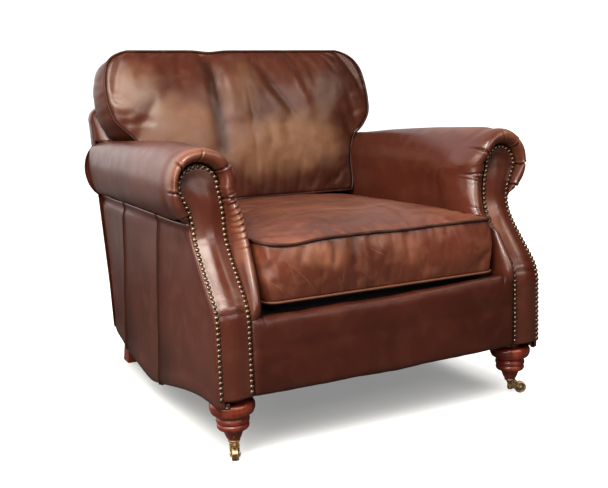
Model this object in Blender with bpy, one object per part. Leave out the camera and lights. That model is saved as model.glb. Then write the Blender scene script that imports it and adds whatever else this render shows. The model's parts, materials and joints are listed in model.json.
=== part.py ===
"""Worn leather club chair: hardwood frame, sprung seat, leather panels, two loose cushions, legs and casters.

Metres, +Z up. The origin is on the floor, under the middle of the chair's box. The chair faces -Y and its
right-hand side, as seen from the front, is +X. Depths are measured back from FRONT, the front border's plane.
"""

import math

import bmesh
import bpy
from mathutils import Matrix, Vector

# ---- Driving dimensions ----
FRONT = -0.50875  # Y of the plane of the front border and of the lower arm facings
GAP = 0.0003  # clearance between pieces that touch
SIDES = (("left", -1), ("right", 1))

# Frame
RAIL_LOW, RAIL_HIGH = 0.155, 0.262  # seat rails
RAIL_THICK = 0.030
FRAME_HALF = 0.402  # half width over the seat rails and front posts
SIDE_RAIL_END = 0.845

# Outer skin
SKIN_HALF = 0.418  # half width over the outside arms
SKIN = 0.014
FACING_IN, FACING_OUT = 0.3415, 0.418
FACING_THICK = 0.0115
FACING_LOW = 0.140
KNEE = 0.321  # height where the facing starts to lean back
SCROLL_LOW, SCROLL_DEPTH = 0.455, 0.114  # where it stands upright again
ARCH_X, ARCH_Z, ARCH_R = 0.397, 0.570, 0.0465
BORDER_HALF, BORDER_TOP, BORDER_LOW = 0.341, 0.311, 0.138

# Arms
ROLL_X, ROLL_Z, ROLL_R = 0.391, 0.570, 0.082
ROLL_FRONT = 0.092
ROLL_NOSE = ((0.067, ROLL_FRONT), (0.0765, 0.0965), (ROLL_R, 0.112))  # (radius, depth) of its rounded front
ROLL_REAR_Z, ROLL_REAR_WIDE, ROLL_REAR_HIGH = 0.5725, 0.055, 0.077  # it is slimmer where it meets the back
ROLL_FACETS = 28
ARM_IN, ARM_TAPER = 0.3105, 0.0251  # inner face of the arm at the front, and how it runs outwards per metre
ARM_UNDER = 0.4877  # top of the outside arm and of the arm rail, just below the roll

# Back
BACK_KNEE_Z, BACK_KNEE_Y = 0.245, 0.902  # the outside back leans from here up
BACK_LOW_Z, BACK_LOW_Y = 0.116, 0.886
BACK_TOP = 0.757
LEAN = math.tan(math.radians(13.35))
BACK_SKIN = 0.012
FRAME_NEAR, FRAME_FAR = 0.0430, 0.0125  # back posts and rails, ahead of the outside back's face
PAD_NEAR, PAD_FAR = 0.0850, 0.0458  # inside back
POST_IN, POST_OUT = 0.352, 0.392

# Seat
DECK_HALF, DECK_LOW, DECK_TOP = 0.310, 0.2925, 0.3253
DECK_FRONT, DECK_BACK = 0.0605, 0.830
SPRING_COUNT, SPRING_PITCH, SPRING_R, SPRING_WAVES = 5, 0.110, 0.002, 11

# Cushions
COVER = 0.003
SEAT_HALF, SEAT_FRONT, SEAT_BACK = 0.302, 0.018, 0.752
SEAT_WIDENS = 1.052  # the seat cushion is this much wider at the back, like the space between the arms
SEAT_LOW, SEAT_BOXING, SEAT_CROWN = 0.3275, 0.1195, 0.034
BACK_CUSHION_DEPTH, BACK_CUSHION_CROWN = 0.142, 0.036
WELT_R = 0.0032

# Legs and casters
LEG_X, LEG_Y = 0.3725, 0.052
LEG_TOP, LEG_TIP = 0.1545, 0.038
REAR_LEG_IN, REAR_LEG_OUT = 0.336, 0.386
FACETS = 24
WHEEL_R, WHEEL_HALF = 0.0143, 0.0075
WHEEL_TRAIL = 0.025
TRAIL_ANGLE = {"left": math.radians(-109.0), "right": math.radians(-26.7)}
PIN_R, PIN_BORE = 0.0040, 0.0041
AXLE_R, AXLE_BORE = 0.0020, 0.0021
AXLE_Z = WHEEL_R * math.cos(math.pi / FACETS)  # a flat facet of the wheel lies on the floor


# ---- Helpers ----
def deep(distance):
    """Y of a point that lies this far behind the front border's plane."""
    return FRONT + distance


def outer_back(z):
    """Depth of the outside back's rear face at a height."""
    if z > BACK_KNEE_Z:
        return BACK_KNEE_Y + (z - BACK_KNEE_Z) * LEAN
    share = (z - BACK_LOW_Z) / (BACK_KNEE_Z - BACK_LOW_Z)
    return BACK_LOW_Y + share * (BACK_KNEE_Y - BACK_LOW_Y)


def material(name, colour, roughness, metallic=0.0):
    made = bpy.data.materials.new(name)
    made.use_nodes = True
    shader = made.node_tree.nodes["Principled BSDF"]
    shader.inputs["Base Color"].default_value = (*colour, 1.0)
    shader.inputs["Roughness"].default_value = roughness
    shader.inputs["Metallic"].default_value = metallic
    return made


def add_object(name, bm, finish, smooth=False):
    """Turns a closed bmesh into a named object with its faces pointing out."""
    bmesh.ops.recalc_face_normals(bm, faces=bm.faces)
    mesh = bpy.data.meshes.new(name)
    bm.to_mesh(mesh)
    bm.free()
    if smooth:
        mesh.shade_smooth()
        mesh.set_sharp_from_angle(angle=math.radians(40))
    obj = bpy.data.objects.new(name, mesh)
    obj.data.materials.append(finish)
    bpy.context.scene.collection.objects.link(obj)
    return obj


def extrude_outline(outline, place, start, end):
    """A closed bmesh: the outline's (u, v) points swept from start to end. place(u, v, w) is the 3-D point."""
    bm = bmesh.new()
    face = bm.faces.new([bm.verts.new(place(u, v, start)) for u, v in outline])
    swept = bmesh.ops.extrude_face_region(bm, geom=[face])["geom"]
    moved = [item for item in swept if isinstance(item, bmesh.types.BMVert)]
    shift = Vector(place(0, 0, end)) - Vector(place(0, 0, start))
    bmesh.ops.translate(bm, verts=moved, vec=shift)
    return bm


def across(depth, z, x):
    """Places a side outline of (depth, height) points, swept along X."""
    return (x, deep(depth), z)


def upright(x, depth, z):
    """Places a plan outline of (x, depth) points, swept along Z."""
    return (x, deep(depth), z)


def facing(x, z, depth):
    """Places a front outline of (x, height) points, swept along Y."""
    return (x, deep(depth), z)


def block(name, low, high, finish):
    """A straight block between two corners given as (x, depth, z)."""
    outline = [(low[0], low[1]), (high[0], low[1]), (high[0], high[1]), (low[0], high[1])]
    return add_object(name, extrude_outline(outline, upright, low[2], high[2]), finish)


def side_panel(name, outline, x_low, x_high, finish):
    return add_object(name, extrude_outline(outline, across, x_low, x_high), finish)


def leaning_slab(name, x_low, x_high, z_low, z_high, near, far, finish):
    """A slab parallel to the raked back, between two distances ahead of its rear face."""
    outline = [
        (outer_back(z_low) - near, z_low),
        (outer_back(z_high) - near, z_high),
        (outer_back(z_high) - far, z_high),
        (outer_back(z_low) - far, z_low),
    ]
    return side_panel(name, outline, x_low, x_high, finish)


def lofted(rings):
    """A closed bmesh through rings that have the same number of points. Every quad is split the same way."""
    bm = bmesh.new()
    loops = [[bm.verts.new(point) for point in ring] for ring in rings]
    bm.faces.new(loops[0])
    bm.faces.new(loops[-1])
    for near, far in zip(loops, loops[1:]):
        for i in range(len(near)):
            j = (i + 1) % len(near)
            bm.faces.new((near[i], near[j], far[j], far[i]))
    bmesh.ops.triangulate(bm, faces=bm.faces, quad_method="FIXED")
    return bm


def arc(centre_u, centre_v, radius, start, end, steps):
    """Points on an arc, its angles in degrees."""
    angles = [math.radians(start + (end - start) * i / steps) for i in range(steps + 1)]
    return [(centre_u + radius * math.cos(a), centre_v + radius * math.sin(a)) for a in angles]


def turned(profile, centre, facets=FACETS):
    """A closed bmesh turned about the vertical through centre, from (radius, z) points.

    Its first corner stands half a facet off the X axis, so that a flat facet faces each axis."""
    bm = bmesh.new()
    points = [bm.verts.new((radius, 0, z)) for radius, z in profile]
    edges = [bm.edges.new(pair) for pair in zip(points, points[1:])]
    bmesh.ops.spin(
        bm,
        geom=points + edges,
        cent=(0, 0, 0),
        axis=(0, 0, 1),
        angle=math.tau,
        steps=facets,
        use_merge=True,
    )
    bmesh.ops.remove_doubles(bm, verts=bm.verts, dist=1e-6)
    turn = Matrix.Rotation(math.pi / facets, 4, "Z")
    bm.transform(Matrix.Translation(centre) @ turn)
    return bm


def rod(centre, radius, z_low, z_high):
    return turned([(0, z_low), (radius, z_low), (radius, z_high), (0, z_high)], centre)


def combine(obj, bm, operation):
    """Cuts, or joins, a closed bmesh into an object and applies the result."""
    helper = add_object(obj.name + "_helper", bm, obj.data.materials[0])
    helper.hide_render = True
    helper.display_type = "WIRE"
    modifier = obj.modifiers.new("shape", "BOOLEAN")
    modifier.operation = operation
    modifier.solver = "EXACT"
    modifier.object = helper
    graph = bpy.context.evaluated_depsgraph_get()
    shaped = bpy.data.meshes.new_from_object(obj.evaluated_get(graph))
    obj.modifiers.clear()
    old = obj.data
    obj.data = shaped
    shaped.name = obj.name
    bpy.data.meshes.remove(old)
    bpy.data.objects.remove(helper)


def tube(name, points, radius, finish, cyclic=False, sides_level=0):
    """A wire or a welt along world points."""
    curve = bpy.data.curves.new(name, "CURVE")
    curve.dimensions = "3D"
    curve.bevel_depth = radius
    curve.bevel_resolution = sides_level
    curve.use_fill_caps = True
    spline = curve.splines.new("POLY")
    spline.points.add(len(points) - 1)
    for point, place in zip(spline.points, points):
        point.co = (*place, 1)
    spline.use_cyclic_u = cyclic
    obj = bpy.data.objects.new(name, curve)
    curve.materials.append(finish)
    bpy.context.scene.collection.objects.link(obj)
    return obj


# ---- Frame ----
def seat_rails(wood):
    block(
        "front_seat_rail",
        (-0.3475, 0.0285, RAIL_LOW),
        (0.3475, 0.0285 + RAIL_THICK, RAIL_HIGH),
        wood,
    )
    rear_face = 0.876
    block(
        "back_seat_rail",
        (-0.3515, rear_face - RAIL_THICK, RAIL_LOW),
        (0.3515, rear_face, RAIL_HIGH),
        wood,
    )
    for side, sign in SIDES:
        ends = sorted((sign * (FRAME_HALF - RAIL_THICK), sign * FRAME_HALF))
        block(
            f"side_seat_rail_{side}",
            (ends[0], 0.0608, RAIL_LOW),
            (ends[1], SIDE_RAIL_END, RAIL_HIGH),
            wood,
        )


def corner_blocks(wood):
    """A triangular glue block in each inside corner of the seat rails."""
    inner = FRAME_HALF - RAIL_THICK - GAP
    leg = 0.075
    for side, sign in SIDES:
        for place, corner, step in (("front", 0.0608, leg), ("rear", 0.8455, -leg)):
            outline = [
                (sign * inner, corner),
                (sign * (inner - leg), corner),
                (sign * inner, corner + step),
            ]
            bm = extrude_outline(outline, upright, RAIL_LOW, RAIL_HIGH)
            add_object(f"corner_block_{place}_{side}", bm, wood)


def arm_frame(wood):
    """Each arm has a front post that follows the leaning facing, and a rail under the roll."""
    near = FACING_THICK + 0.0005
    far = 0.060
    post = [
        (near, RAIL_LOW),
        (near, KNEE - 0.004),
        (SCROLL_DEPTH + near, SCROLL_LOW - 0.003),
        (SCROLL_DEPTH + near, ARM_UNDER),
        (SCROLL_DEPTH + far - 0.006, ARM_UNDER),
        (SCROLL_DEPTH + far - 0.006, SCROLL_LOW - 0.015),
        (far, KNEE - 0.011),
        (far, RAIL_LOW),
    ]
    for side, sign in SIDES:
        side_panel(f"arm_front_post_{side}", post, sign * 0.348, sign * FRAME_HALF, wood)
        ends = sorted((sign * 0.350, sign * 0.400))
        block(
            f"arm_top_rail_{side}",
            (ends[0], SCROLL_DEPTH + far - 0.0055, 0.452),
            (ends[1], 0.905, ARM_UNDER),
            wood,
        )


def back_post_outline(grow=0.0):
    """Side outline of a back post, upright beside the seat and raked above it."""
    low, high = RAIL_LOW + 0.003, 0.735
    heights = (low, BACK_KNEE_Z, high)
    front = [(outer_back(z) - FRAME_NEAR - grow, z) for z in heights]
    rear = [(outer_back(z) - FRAME_FAR + grow, z) for z in reversed(heights)]
    return front + rear


def back_frame(wood, webbing):
    for side, sign in SIDES:
        side_panel(f"back_post_{side}", back_post_outline(), sign * POST_IN, sign * POST_OUT, wood)
    inner = POST_IN - 0.0005
    leaning_slab("back_top_rail", -inner, inner, 0.695, 0.735, FRAME_NEAR, FRAME_FAR, wood)
    leaning_slab("back_lower_rail", -inner, inner, 0.335, 0.375, FRAME_NEAR, FRAME_FAR, wood)
    for number, x in enumerate((-0.18, 0.0, 0.18), 1):
        leaning_slab(
            f"back_webbing_{number}",
            x - 0.025,
            x + 0.025,
            0.340,
            0.730,
            FRAME_NEAR + 0.0025,
            FRAME_NEAR + GAP,
            webbing,
        )


def seat_springs(steel):
    """Flat serpentine springs from the front rail to the rear rail, arched under the deck."""
    start, end = 0.045, 0.862
    steps = SPRING_WAVES * 6
    for number in range(SPRING_COUNT):
        middle = (number - (SPRING_COUNT - 1) / 2) * SPRING_PITCH
        points = []
        for step in range(steps + 1):
            share = step / steps
            swing = 0.024 * math.sin(math.tau * SPRING_WAVES * share)
            rise = 0.021 * math.sin(math.pi * share)
            depth = start + (end - start) * share
            points.append((middle + swing, deep(depth), RAIL_HIGH + SPRING_R + GAP + rise))
        tube(f"seat_spring_{number + 1}", points, SPRING_R, steel)


# ---- Upholstered panels ----
def front_depth(z):
    """Depth of the facing's face at a height: upright, leaning back above the knee, upright again."""
    share = (z - KNEE) / (SCROLL_LOW - KNEE)
    return SCROLL_DEPTH * min(1.0, max(0.0, share))


def facing_outline(grow=0.0):
    """Right-hand facing as (x, z) points: straight up to the scroll, then round over the arch."""
    outer = [
        (FACING_OUT, FACING_LOW),
        (FACING_OUT, KNEE),
        (FACING_OUT, SCROLL_LOW),
        (0.419, 0.495),
        (0.4265, 0.522),
        (0.4375, 0.548),
    ]
    arch = arc(ARCH_X, ARCH_Z, ARCH_R, -8, 188, 10)
    inner = [
        (0.3445, 0.535),
        (0.3415, 0.505),
        (FACING_IN, SCROLL_LOW),
        (FACING_IN, KNEE),
        (FACING_IN, FACING_LOW),
    ]
    points = outer + arch + inner
    if not grow:
        return points
    centre = Vector((ARCH_X - 0.015, 0.500))
    return [tuple(Vector(p) + (Vector(p) - centre).normalized() * grow) for p in points]


def arm_facings(leather):
    """Nailed front panel of each arm, one bent sheet over padding."""
    for side, sign in SIDES:
        bm = extrude_outline(
            [(sign * x, z) for x, z in facing_outline()], facing, 0.0, FACING_THICK
        )
        for height in (KNEE, SCROLL_LOW):
            whole = list(bm.verts) + list(bm.edges) + list(bm.faces)
            bmesh.ops.bisect_plane(bm, geom=whole, plane_co=(0, 0, height), plane_no=(0, 0, 1))
        for vert in bm.verts:
            vert.co.y += front_depth(vert.co.z)
        add_object(f"arm_facing_{side}", bm, leather)


def roll_body(grow=0.0, ahead=0.0):
    """Right-hand arm roll: rounded in front, slimmer at the rear, its end raked like the back.

    grow makes it fatter all round, and ahead carries its front on, for use as a cutter."""
    turns = [math.tau * i / ROLL_FACETS for i in range(ROLL_FACETS)]

    def ring(radius, depth):
        reach = radius + grow
        return [
            facing(ROLL_X + reach * math.cos(a), ROLL_Z + reach * math.sin(a), depth)
            for a in turns
        ]

    rings = [ring(radius, depth) for radius, depth in ROLL_NOSE]
    if ahead:
        rings.insert(0, ring(ROLL_NOSE[0][0], ROLL_FRONT - ahead))
    rear = []
    for a in turns:
        x = ROLL_X + (ROLL_REAR_WIDE + grow) * math.cos(a)
        z = ROLL_REAR_Z + (ROLL_REAR_HIGH + grow) * math.sin(a)
        rear.append(facing(x, z, outer_back(z) - BACK_SKIN - GAP))
    return lofted(rings + [rear])


def mirror_to(bm, sign):
    if sign < 0:
        bmesh.ops.scale(bm, verts=bm.verts, vec=(-1, 1, 1))
        bmesh.ops.reverse_faces(bm, faces=bm.faces)
    return bm


def arm_rolls(leather):
    """The roll is recessed at the front for the facing and slotted at the rear for the back post."""
    for side, sign in SIDES:
        roll = add_object(f"arm_roll_{side}", mirror_to(roll_body(), sign), leather, True)
        recess = extrude_outline(
            [(x, z) for x, z in facing_outline(0.001)],
            facing,
            ROLL_FRONT - 0.02,
            SCROLL_DEPTH + FACING_THICK + GAP,
        )
        combine(roll, mirror_to(recess, sign), "DIFFERENCE")
        slot = extrude_outline(back_post_outline(0.0004), across, POST_IN - GAP, POST_OUT + GAP)
        combine(roll, mirror_to(slot, sign), "DIFFERENCE")


def inside_arms(leather):
    """Padded inner face of each arm. It swells ahead of the facing, and thins towards the rear."""
    low, high = BORDER_TOP + 0.0015, 0.575
    swell = [
        (-0.006, low),
        (-0.006, 0.330),
        (0.030, 0.415),
        (0.044, 0.465),
        (0.076, 0.515),
        (0.100, 0.545),
        (0.106, high),
    ]
    rear = outer_back(high) - FRAME_NEAR - 0.0035, outer_back(low) - FRAME_NEAR - 0.0035
    outline = swell + [(rear[0], high), (rear[1], low)]
    for side, sign in SIDES:
        bm = extrude_outline(outline, across, ARM_IN, FACING_IN - GAP)
        for vert in bm.verts:
            if vert.co.x < ARM_IN + 0.001:
                vert.co.x += ARM_TAPER * (vert.co.y - FRONT + 0.006)
        arm = add_object(f"inside_arm_{side}", mirror_to(bm, sign), leather)
        combine(arm, mirror_to(roll_body(0.0006, 0.15), sign), "DIFFERENCE")


def outside_arms(leather):
    """Outer skin of each arm. Its lower edge sags below the frame between the legs."""
    rear = BACK_SKIN + GAP
    near = FACING_THICK + GAP
    outline = [
        (near, 0.1262),
        (near, KNEE - 0.003),
        (SCROLL_DEPTH + near, SCROLL_LOW - 0.002),
        (SCROLL_DEPTH + near, ARM_UNDER),
        (outer_back(0.4955) - rear, 0.4955),
        (outer_back(BACK_KNEE_Z) - rear, BACK_KNEE_Z),
        (outer_back(0.118) - rear, 0.118),
        (0.850, 0.103),
        (0.780, 0.096),
        (0.520, 0.060),
        (0.460, 0.058),
        (0.400, 0.070),
        (0.280, 0.096),
        (0.180, 0.115),
        (0.098, 0.1245),
    ]
    for side, sign in SIDES:
        side_panel(
            f"outside_arm_{side}", outline, sign * (SKIN_HALF - SKIN), sign * SKIN_HALF, leather
        )


def front_border(leather):
    """Padded strip over the front rail, with the rounded lip that the seat cushion lies behind."""
    face, back, lip_back = -0.004, 0.028, 0.060
    outline = [
        (face + 0.004, BORDER_LOW),
        (face, BORDER_LOW + 0.008),
        (face, BORDER_TOP - 0.012),
        (face + 0.010, BORDER_TOP),
        (lip_back, BORDER_TOP),
        (lip_back, 0.285),
        (back, 0.285),
        (back, BORDER_LOW),
    ]
    side_panel("front_border", outline, -BORDER_HALF, BORDER_HALF, leather)


def back_panels(leather):
    """The inside back is a padded T: wide above the arms, narrow between them."""
    corner = 0.035
    stem = 0.3305
    wide = SKIN_HALF - 0.0005
    shoulder = ROLL_Z + ROLL_R + 0.0006
    half = [(stem, 0.3320), (stem, shoulder), (wide, shoulder)]
    half += arc(wide - corner, BACK_TOP - 0.002 - corner, corner, 0, 90, 4)
    outline = half + [(-x, z) for x, z in reversed(half)]
    bm = extrude_outline(outline, facing, 0.0, PAD_NEAR - PAD_FAR)
    lean_back(bm, PAD_NEAR)
    add_object("inside_back", bm, leather)

    half = [(SKIN_HALF, BACK_LOW_Z), (SKIN_HALF, BACK_KNEE_Z)]
    half += arc(SKIN_HALF - corner, BACK_TOP - corner, corner, 0, 90, 4)
    outline = half + [(-x, z) for x, z in reversed(half)]
    bm = extrude_outline(outline, facing, 0.0, BACK_SKIN)
    whole = list(bm.verts) + list(bm.edges) + list(bm.faces)
    bmesh.ops.bisect_plane(bm, geom=whole, plane_co=(0, 0, BACK_KNEE_Z), plane_no=(0, 0, 1))
    lean_back(bm, BACK_SKIN)
    add_object("outside_back", bm, leather)


def back_edges(leather):
    """Padded edge that closes the raised back above the arms: a rounded wing each side and a band on top."""
    near, far = PAD_FAR - GAP, BACK_SKIN + GAP
    corner, top = 0.034, BACK_TOP - 0.001
    inner, outer = POST_OUT + 2 * GAP, SKIN_HALF - 0.001
    low = ROLL_Z + ROLL_R + 0.0006
    turn = math.degrees(math.acos((inner - outer + corner) / corner))
    for side, sign in SIDES:
        outline = [(inner, low), (outer, low)]
        outline += arc(outer - corner, top - corner, corner, 0, turn, 4)
        bm = extrude_outline([(sign * x, z) for x, z in outline], facing, 0.0, near - far)
        lean_back(bm, near)
        add_object(f"back_wing_{side}", bm, leather)
    band_half, band_low = POST_OUT, 0.7355
    leaning_slab("back_top_band", -band_half, band_half, band_low, top, near, far, leather)


def lean_back(bm, near):
    """Shears an upright front outline so that it follows the raked back."""
    for vert in bm.verts:
        vert.co.y += outer_back(vert.co.z) - near


def seat_deck(cloth):
    block(
        "seat_deck",
        (-DECK_HALF, DECK_FRONT, DECK_LOW),
        (DECK_HALF, DECK_BACK, DECK_TOP),
        cloth,
    )


def dust_cover(cloth):
    """Thin cloth under the rails, notched round the four legs."""
    wide, narrow = 0.400, 0.330
    front, front_notch, rear_notch, rear = 0.030, 0.100, 0.815, 0.870
    half = [
        (narrow, front),
        (narrow, front_notch),
        (wide, front_notch),
        (wide, rear_notch),
        (narrow, rear_notch),
        (narrow, rear),
    ]
    outline = half + [(-x, depth) for x, depth in reversed(half)]
    top = RAIL_LOW - GAP
    add_object("dust_cover", extrude_outline(outline, upright, top - 0.002, top), cloth)


# ---- Cushions ----
def rounded_rectangle(half_u, low_v, high_v, corner, steps=3):
    points = arc(half_u - corner, high_v - corner, corner, 0, 90, steps)
    points += arc(-half_u + corner, high_v - corner, corner, 90, 180, steps)
    points += arc(-half_u + corner, low_v + corner, corner, 180, 270, steps)
    points += arc(half_u - corner, low_v + corner, corner, 270, 360, steps)
    return subdivided(points, 0.13)


def subdivided(points, longest):
    """Adds points on any straight run that is longer than this."""
    result = []
    for start, end in zip(points, points[1:] + points[:1]):
        parts = math.ceil(math.dist(start, end) / longest)
        for part in range(parts):
            share = part / parts
            result.append(tuple(a + (b - a) * share for a, b in zip(start, end)))
    return result


def boxed_pad(outline, boxing, crown, inset):
    """A closed pad: flat at w = 0, a straight boxing, and a crowned face. inset shrinks it on all sides."""
    centre = Vector((sum(u for u, _ in outline), sum(v for _, v in outline))) / len(outline)
    reach = max((Vector(point) - centre).length for point in outline)
    shrink = 1 - inset / (reach * 0.7)
    edge = [centre + (Vector(point) - centre) * shrink for point in outline]

    def ring(share, height):
        places = [centre + (point - centre) * share for point in edge]
        return [(place.x, place.y, height) for place in places]

    rings = [ring(1.0, inset), ring(1.0, boxing - inset)]
    for share in (0.86, 0.62, 0.32, 0.08):
        rings.append(ring(share, boxing - inset + crown * (1 - share**2.4)))
    return lofted(rings)


def cover_and_core(name, outline, boxing, crown, place, zip_low, zip_high, leather, foam):
    """A leather cover, open along its zip at the back, and the foam block that fills it."""
    shell = boxed_pad(outline, boxing, crown, 0.0)
    shell.transform(place)
    cover = add_object(f"{name}_cover", shell, leather, True)
    inner = boxed_pad(outline, boxing, crown, COVER)
    inner.transform(place)
    combine(cover, inner, "DIFFERENCE")
    zip_slot = bmesh.new()
    bmesh.ops.create_cube(zip_slot, size=1.0)
    size = Vector(zip_high) - Vector(zip_low)
    middle = (Vector(zip_high) + Vector(zip_low)) / 2
    bmesh.ops.scale(zip_slot, verts=zip_slot.verts, vec=size)
    bmesh.ops.translate(zip_slot, verts=zip_slot.verts, vec=middle)
    zip_slot.transform(place)
    combine(cover, zip_slot, "DIFFERENCE")
    core = boxed_pad(outline, boxing, crown, COVER + 0.0006)
    core.transform(place)
    add_object(f"{name}_core", core, foam, True)


def pushed_out(outline, distance):
    """The outline with each corner moved out along the mean normal of its two sides. It runs anticlockwise."""
    result = []
    for i, point in enumerate(outline):
        before = Vector(point) - Vector(outline[i - 1])
        after = Vector(outline[(i + 1) % len(outline)]) - Vector(point)
        along = (before.normalized() + after.normalized()).normalized()
        stretch = 1 / max(0.5, along.dot(before.normalized()))
        result.append(Vector(point) + Vector((along.y, -along.x)) * distance * stretch)
    return result


def welt_loop(name, outline, height, place, leather):
    """A piped edge just outside the cushion's outline, at one height of its boxing."""
    route = pushed_out(outline, WELT_R + 2 * GAP)
    points = [place @ Vector((point.x, point.y, height)) for point in route]
    tube(name, points, WELT_R, leather, cyclic=True)


def seat_cushion(leather, foam):
    middle = (SEAT_FRONT + SEAT_BACK) / 2
    half_depth = (SEAT_BACK - SEAT_FRONT) / 2
    square = rounded_rectangle(SEAT_HALF, -half_depth, half_depth, 0.028)
    outline = []
    for u, v in square:
        share = (v + half_depth) / (2 * half_depth)
        outline.append((u * (1 + (SEAT_WIDENS - 1) * share), v))
    place = Matrix.Translation((0, deep(middle), SEAT_LOW))
    zip_low = (-0.20, half_depth - 0.02, 0.050)
    zip_high = (0.20, half_depth + 0.02, 0.056)
    cover_and_core(
        "seat_cushion",
        outline,
        SEAT_BOXING,
        SEAT_CROWN,
        place,
        zip_low,
        zip_high,
        leather,
        foam,
    )
    welt_loop("seat_welt_top", outline, SEAT_BOXING - WELT_R, place, leather)
    welt_loop("seat_welt_bottom", outline, WELT_R * 1.2, place, leather)


def back_cushion_outline():
    """Front view of the back cushion, from its foot up: narrow between the arms, with ears over them."""
    half = [
        (0.312, 0.0),
        (0.3205, 0.030),
        (0.3205, 0.115),
        (0.3265, 0.142),
        (0.3320, 0.168),
        (0.3415, 0.188),
        (0.3550, 0.2045),
        (0.370, 0.2185),
    ]
    half += arc(0.3645, 0.286, 0.050, -58, 0, 3)
    half += arc(0.3295, 0.352, 0.085, 0, 90, 4)
    outline = half + [(-x, z) for x, z in reversed(half)]
    return subdivided(outline, 0.15)


def back_cushion(leather, foam):
    """The cushion stands on the seat cushion and leans on the inside back."""
    tilt = math.atan(LEAN)
    foot = 0.447
    rear = outer_back(foot) - PAD_NEAR - 0.001
    # Local axes: u across, v up the lean, w forward out of the back.
    axes = Matrix(
        (
            (1, 0, 0, 0),
            (0, math.sin(tilt), -math.cos(tilt), deep(rear)),
            (0, math.cos(tilt), math.sin(tilt), foot),
            (0, 0, 0, 1),
        )
    )
    outline = back_cushion_outline()
    zip_low = (-0.20, -0.02, 0.060)
    zip_high = (0.20, 0.02, 0.066)
    cover_and_core(
        "back_cushion",
        outline,
        BACK_CUSHION_DEPTH,
        BACK_CUSHION_CROWN,
        axes,
        zip_low,
        zip_high,
        leather,
        foam,
    )
    welt_loop("back_welt_front", outline, BACK_CUSHION_DEPTH - WELT_R, axes, leather)
    welt_loop("back_welt_rear", outline, WELT_R * 1.2, axes, leather)


# ---- Legs and casters ----
def front_legs(wood):
    """Turned legs with a broad top ring, two beads and a tapered toe."""
    profile = [
        (0, LEG_TOP),
        (0.026, LEG_TOP),
        (0.026, 0.1232),
        (0.045, 0.1232),
        (0.0485, 0.117),
        (0.0485, 0.108),
        (0.0445, 0.099),
        (0.034, 0.0925),
        (0.033, 0.089),
        (0.0355, 0.086),
        (0.0355, 0.079),
        (0.0315, 0.0762),
        (0.0345, 0.073),
        (0.0345, 0.067),
        (0.0310, 0.0625),
        (0.0215, 0.060),
        (0.0205, 0.055),
        (0.0165, 0.044),
        (0.0125, LEG_TIP),
        (0, LEG_TIP),
    ]
    for side, sign in SIDES:
        centre = (sign * LEG_X, deep(LEG_Y), 0)
        leg = add_object(f"front_leg_{side}", turned(profile, centre), wood, True)
        combine(leg, rod(centre, PIN_BORE, LEG_TIP - 0.01, 0.070), "DIFFERENCE")


def rear_legs(wood):
    """Square rear legs that kick back to the floor."""
    outline = [
        (0.824, LEG_TOP),
        (0.824, 0.100),
        (0.866, 0.0),
        (0.918, 0.0),
        (0.8735, 0.112),
        (0.8715, LEG_TOP),
    ]
    for side, sign in SIDES:
        side_panel(
            f"rear_leg_{side}", outline, sign * REAR_LEG_IN, sign * REAR_LEG_OUT, wood
        )


def caster(side, sign, brass):
    """One caster: a fixed stem, a horn that swivels on it, an axle pin and a wheel."""
    foot = Vector((sign * LEG_X, deep(LEG_Y), 0))
    angle = TRAIL_ANGLE[side]
    swivel = bpy.data.objects.new(f"caster_{side}_swivel", None)
    swivel.location = foot
    swivel.rotation_euler = (0, 0, angle)
    bpy.context.scene.collection.objects.link(swivel)

    stem_profile = [
        (0, 0.0095),
        (0.0056, 0.0095),
        (0.0056, 0.0118),
        (PIN_R, 0.0118),
        (PIN_R, 0.0340),
        (0.0115, 0.0340),
        (0.0115, LEG_TIP - GAP),
        (PIN_R, LEG_TIP - GAP),
        (PIN_R, 0.0690),
        (0, 0.0690),
    ]
    add_object(f"caster_stem_{side}", turned(stem_profile, foot), brass, True)

    horn = add_object(f"caster_horn_{side}", rod((0, 0, 0), 0.0068, 0.0122, 0.0336), brass, True)
    clear = WHEEL_HALF + 0.0008
    outside = clear + 0.0022
    bridge = extrude_outline(
        [(0.0035, -outside), (0.0088, -outside), (0.0088, outside), (0.0035, outside)],
        lambda u, v, w: (u, v, w),
        0.0130,
        0.0330,
    )
    combine(horn, bridge, "UNION")
    cheek = [(0.0040, 0.0325), (0.0150, 0.0310)]
    cheek += arc(WHEEL_TRAIL, AXLE_Z, 0.0068, 70, -100, 7)
    cheek += [(0.0130, 0.0125), (0.0040, 0.0135)]
    for edge in (1, -1):
        arm = extrude_outline(cheek, lambda u, v, w: (u, w, v), edge * clear, edge * outside)
        combine(horn, arm, "UNION")
    combine(horn, rod((0, 0, 0), PIN_BORE, 0.005, 0.040), "DIFFERENCE")
    combine(horn, lying_rod(AXLE_BORE, 0.02), "DIFFERENCE")
    horn.parent = swivel

    roll = bpy.data.objects.new(f"caster_{side}_roll", None)
    roll.parent = swivel
    roll.location = (WHEEL_TRAIL, 0, AXLE_Z)
    bpy.context.scene.collection.objects.link(roll)
    axle = add_object(f"caster_axle_{side}", lying_rod(AXLE_R, outside + 0.0008), brass, True)
    axle.parent = swivel

    half, bevel = WHEEL_HALF, 0.0022
    wheel_profile = [
        (AXLE_BORE, -half),
        (WHEEL_R - bevel, -half),
        (WHEEL_R, -half + bevel),
        (WHEEL_R, half - bevel),
        (WHEEL_R - bevel, half),
        (AXLE_BORE, half),
        (AXLE_BORE, -half),
    ]
    bm = turned(wheel_profile, (0, 0, 0))
    bm.transform(Matrix.Rotation(math.radians(90), 4, "X"))
    wheel = add_object(f"caster_wheel_{side}", bm, brass, True)
    wheel.parent = roll


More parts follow.
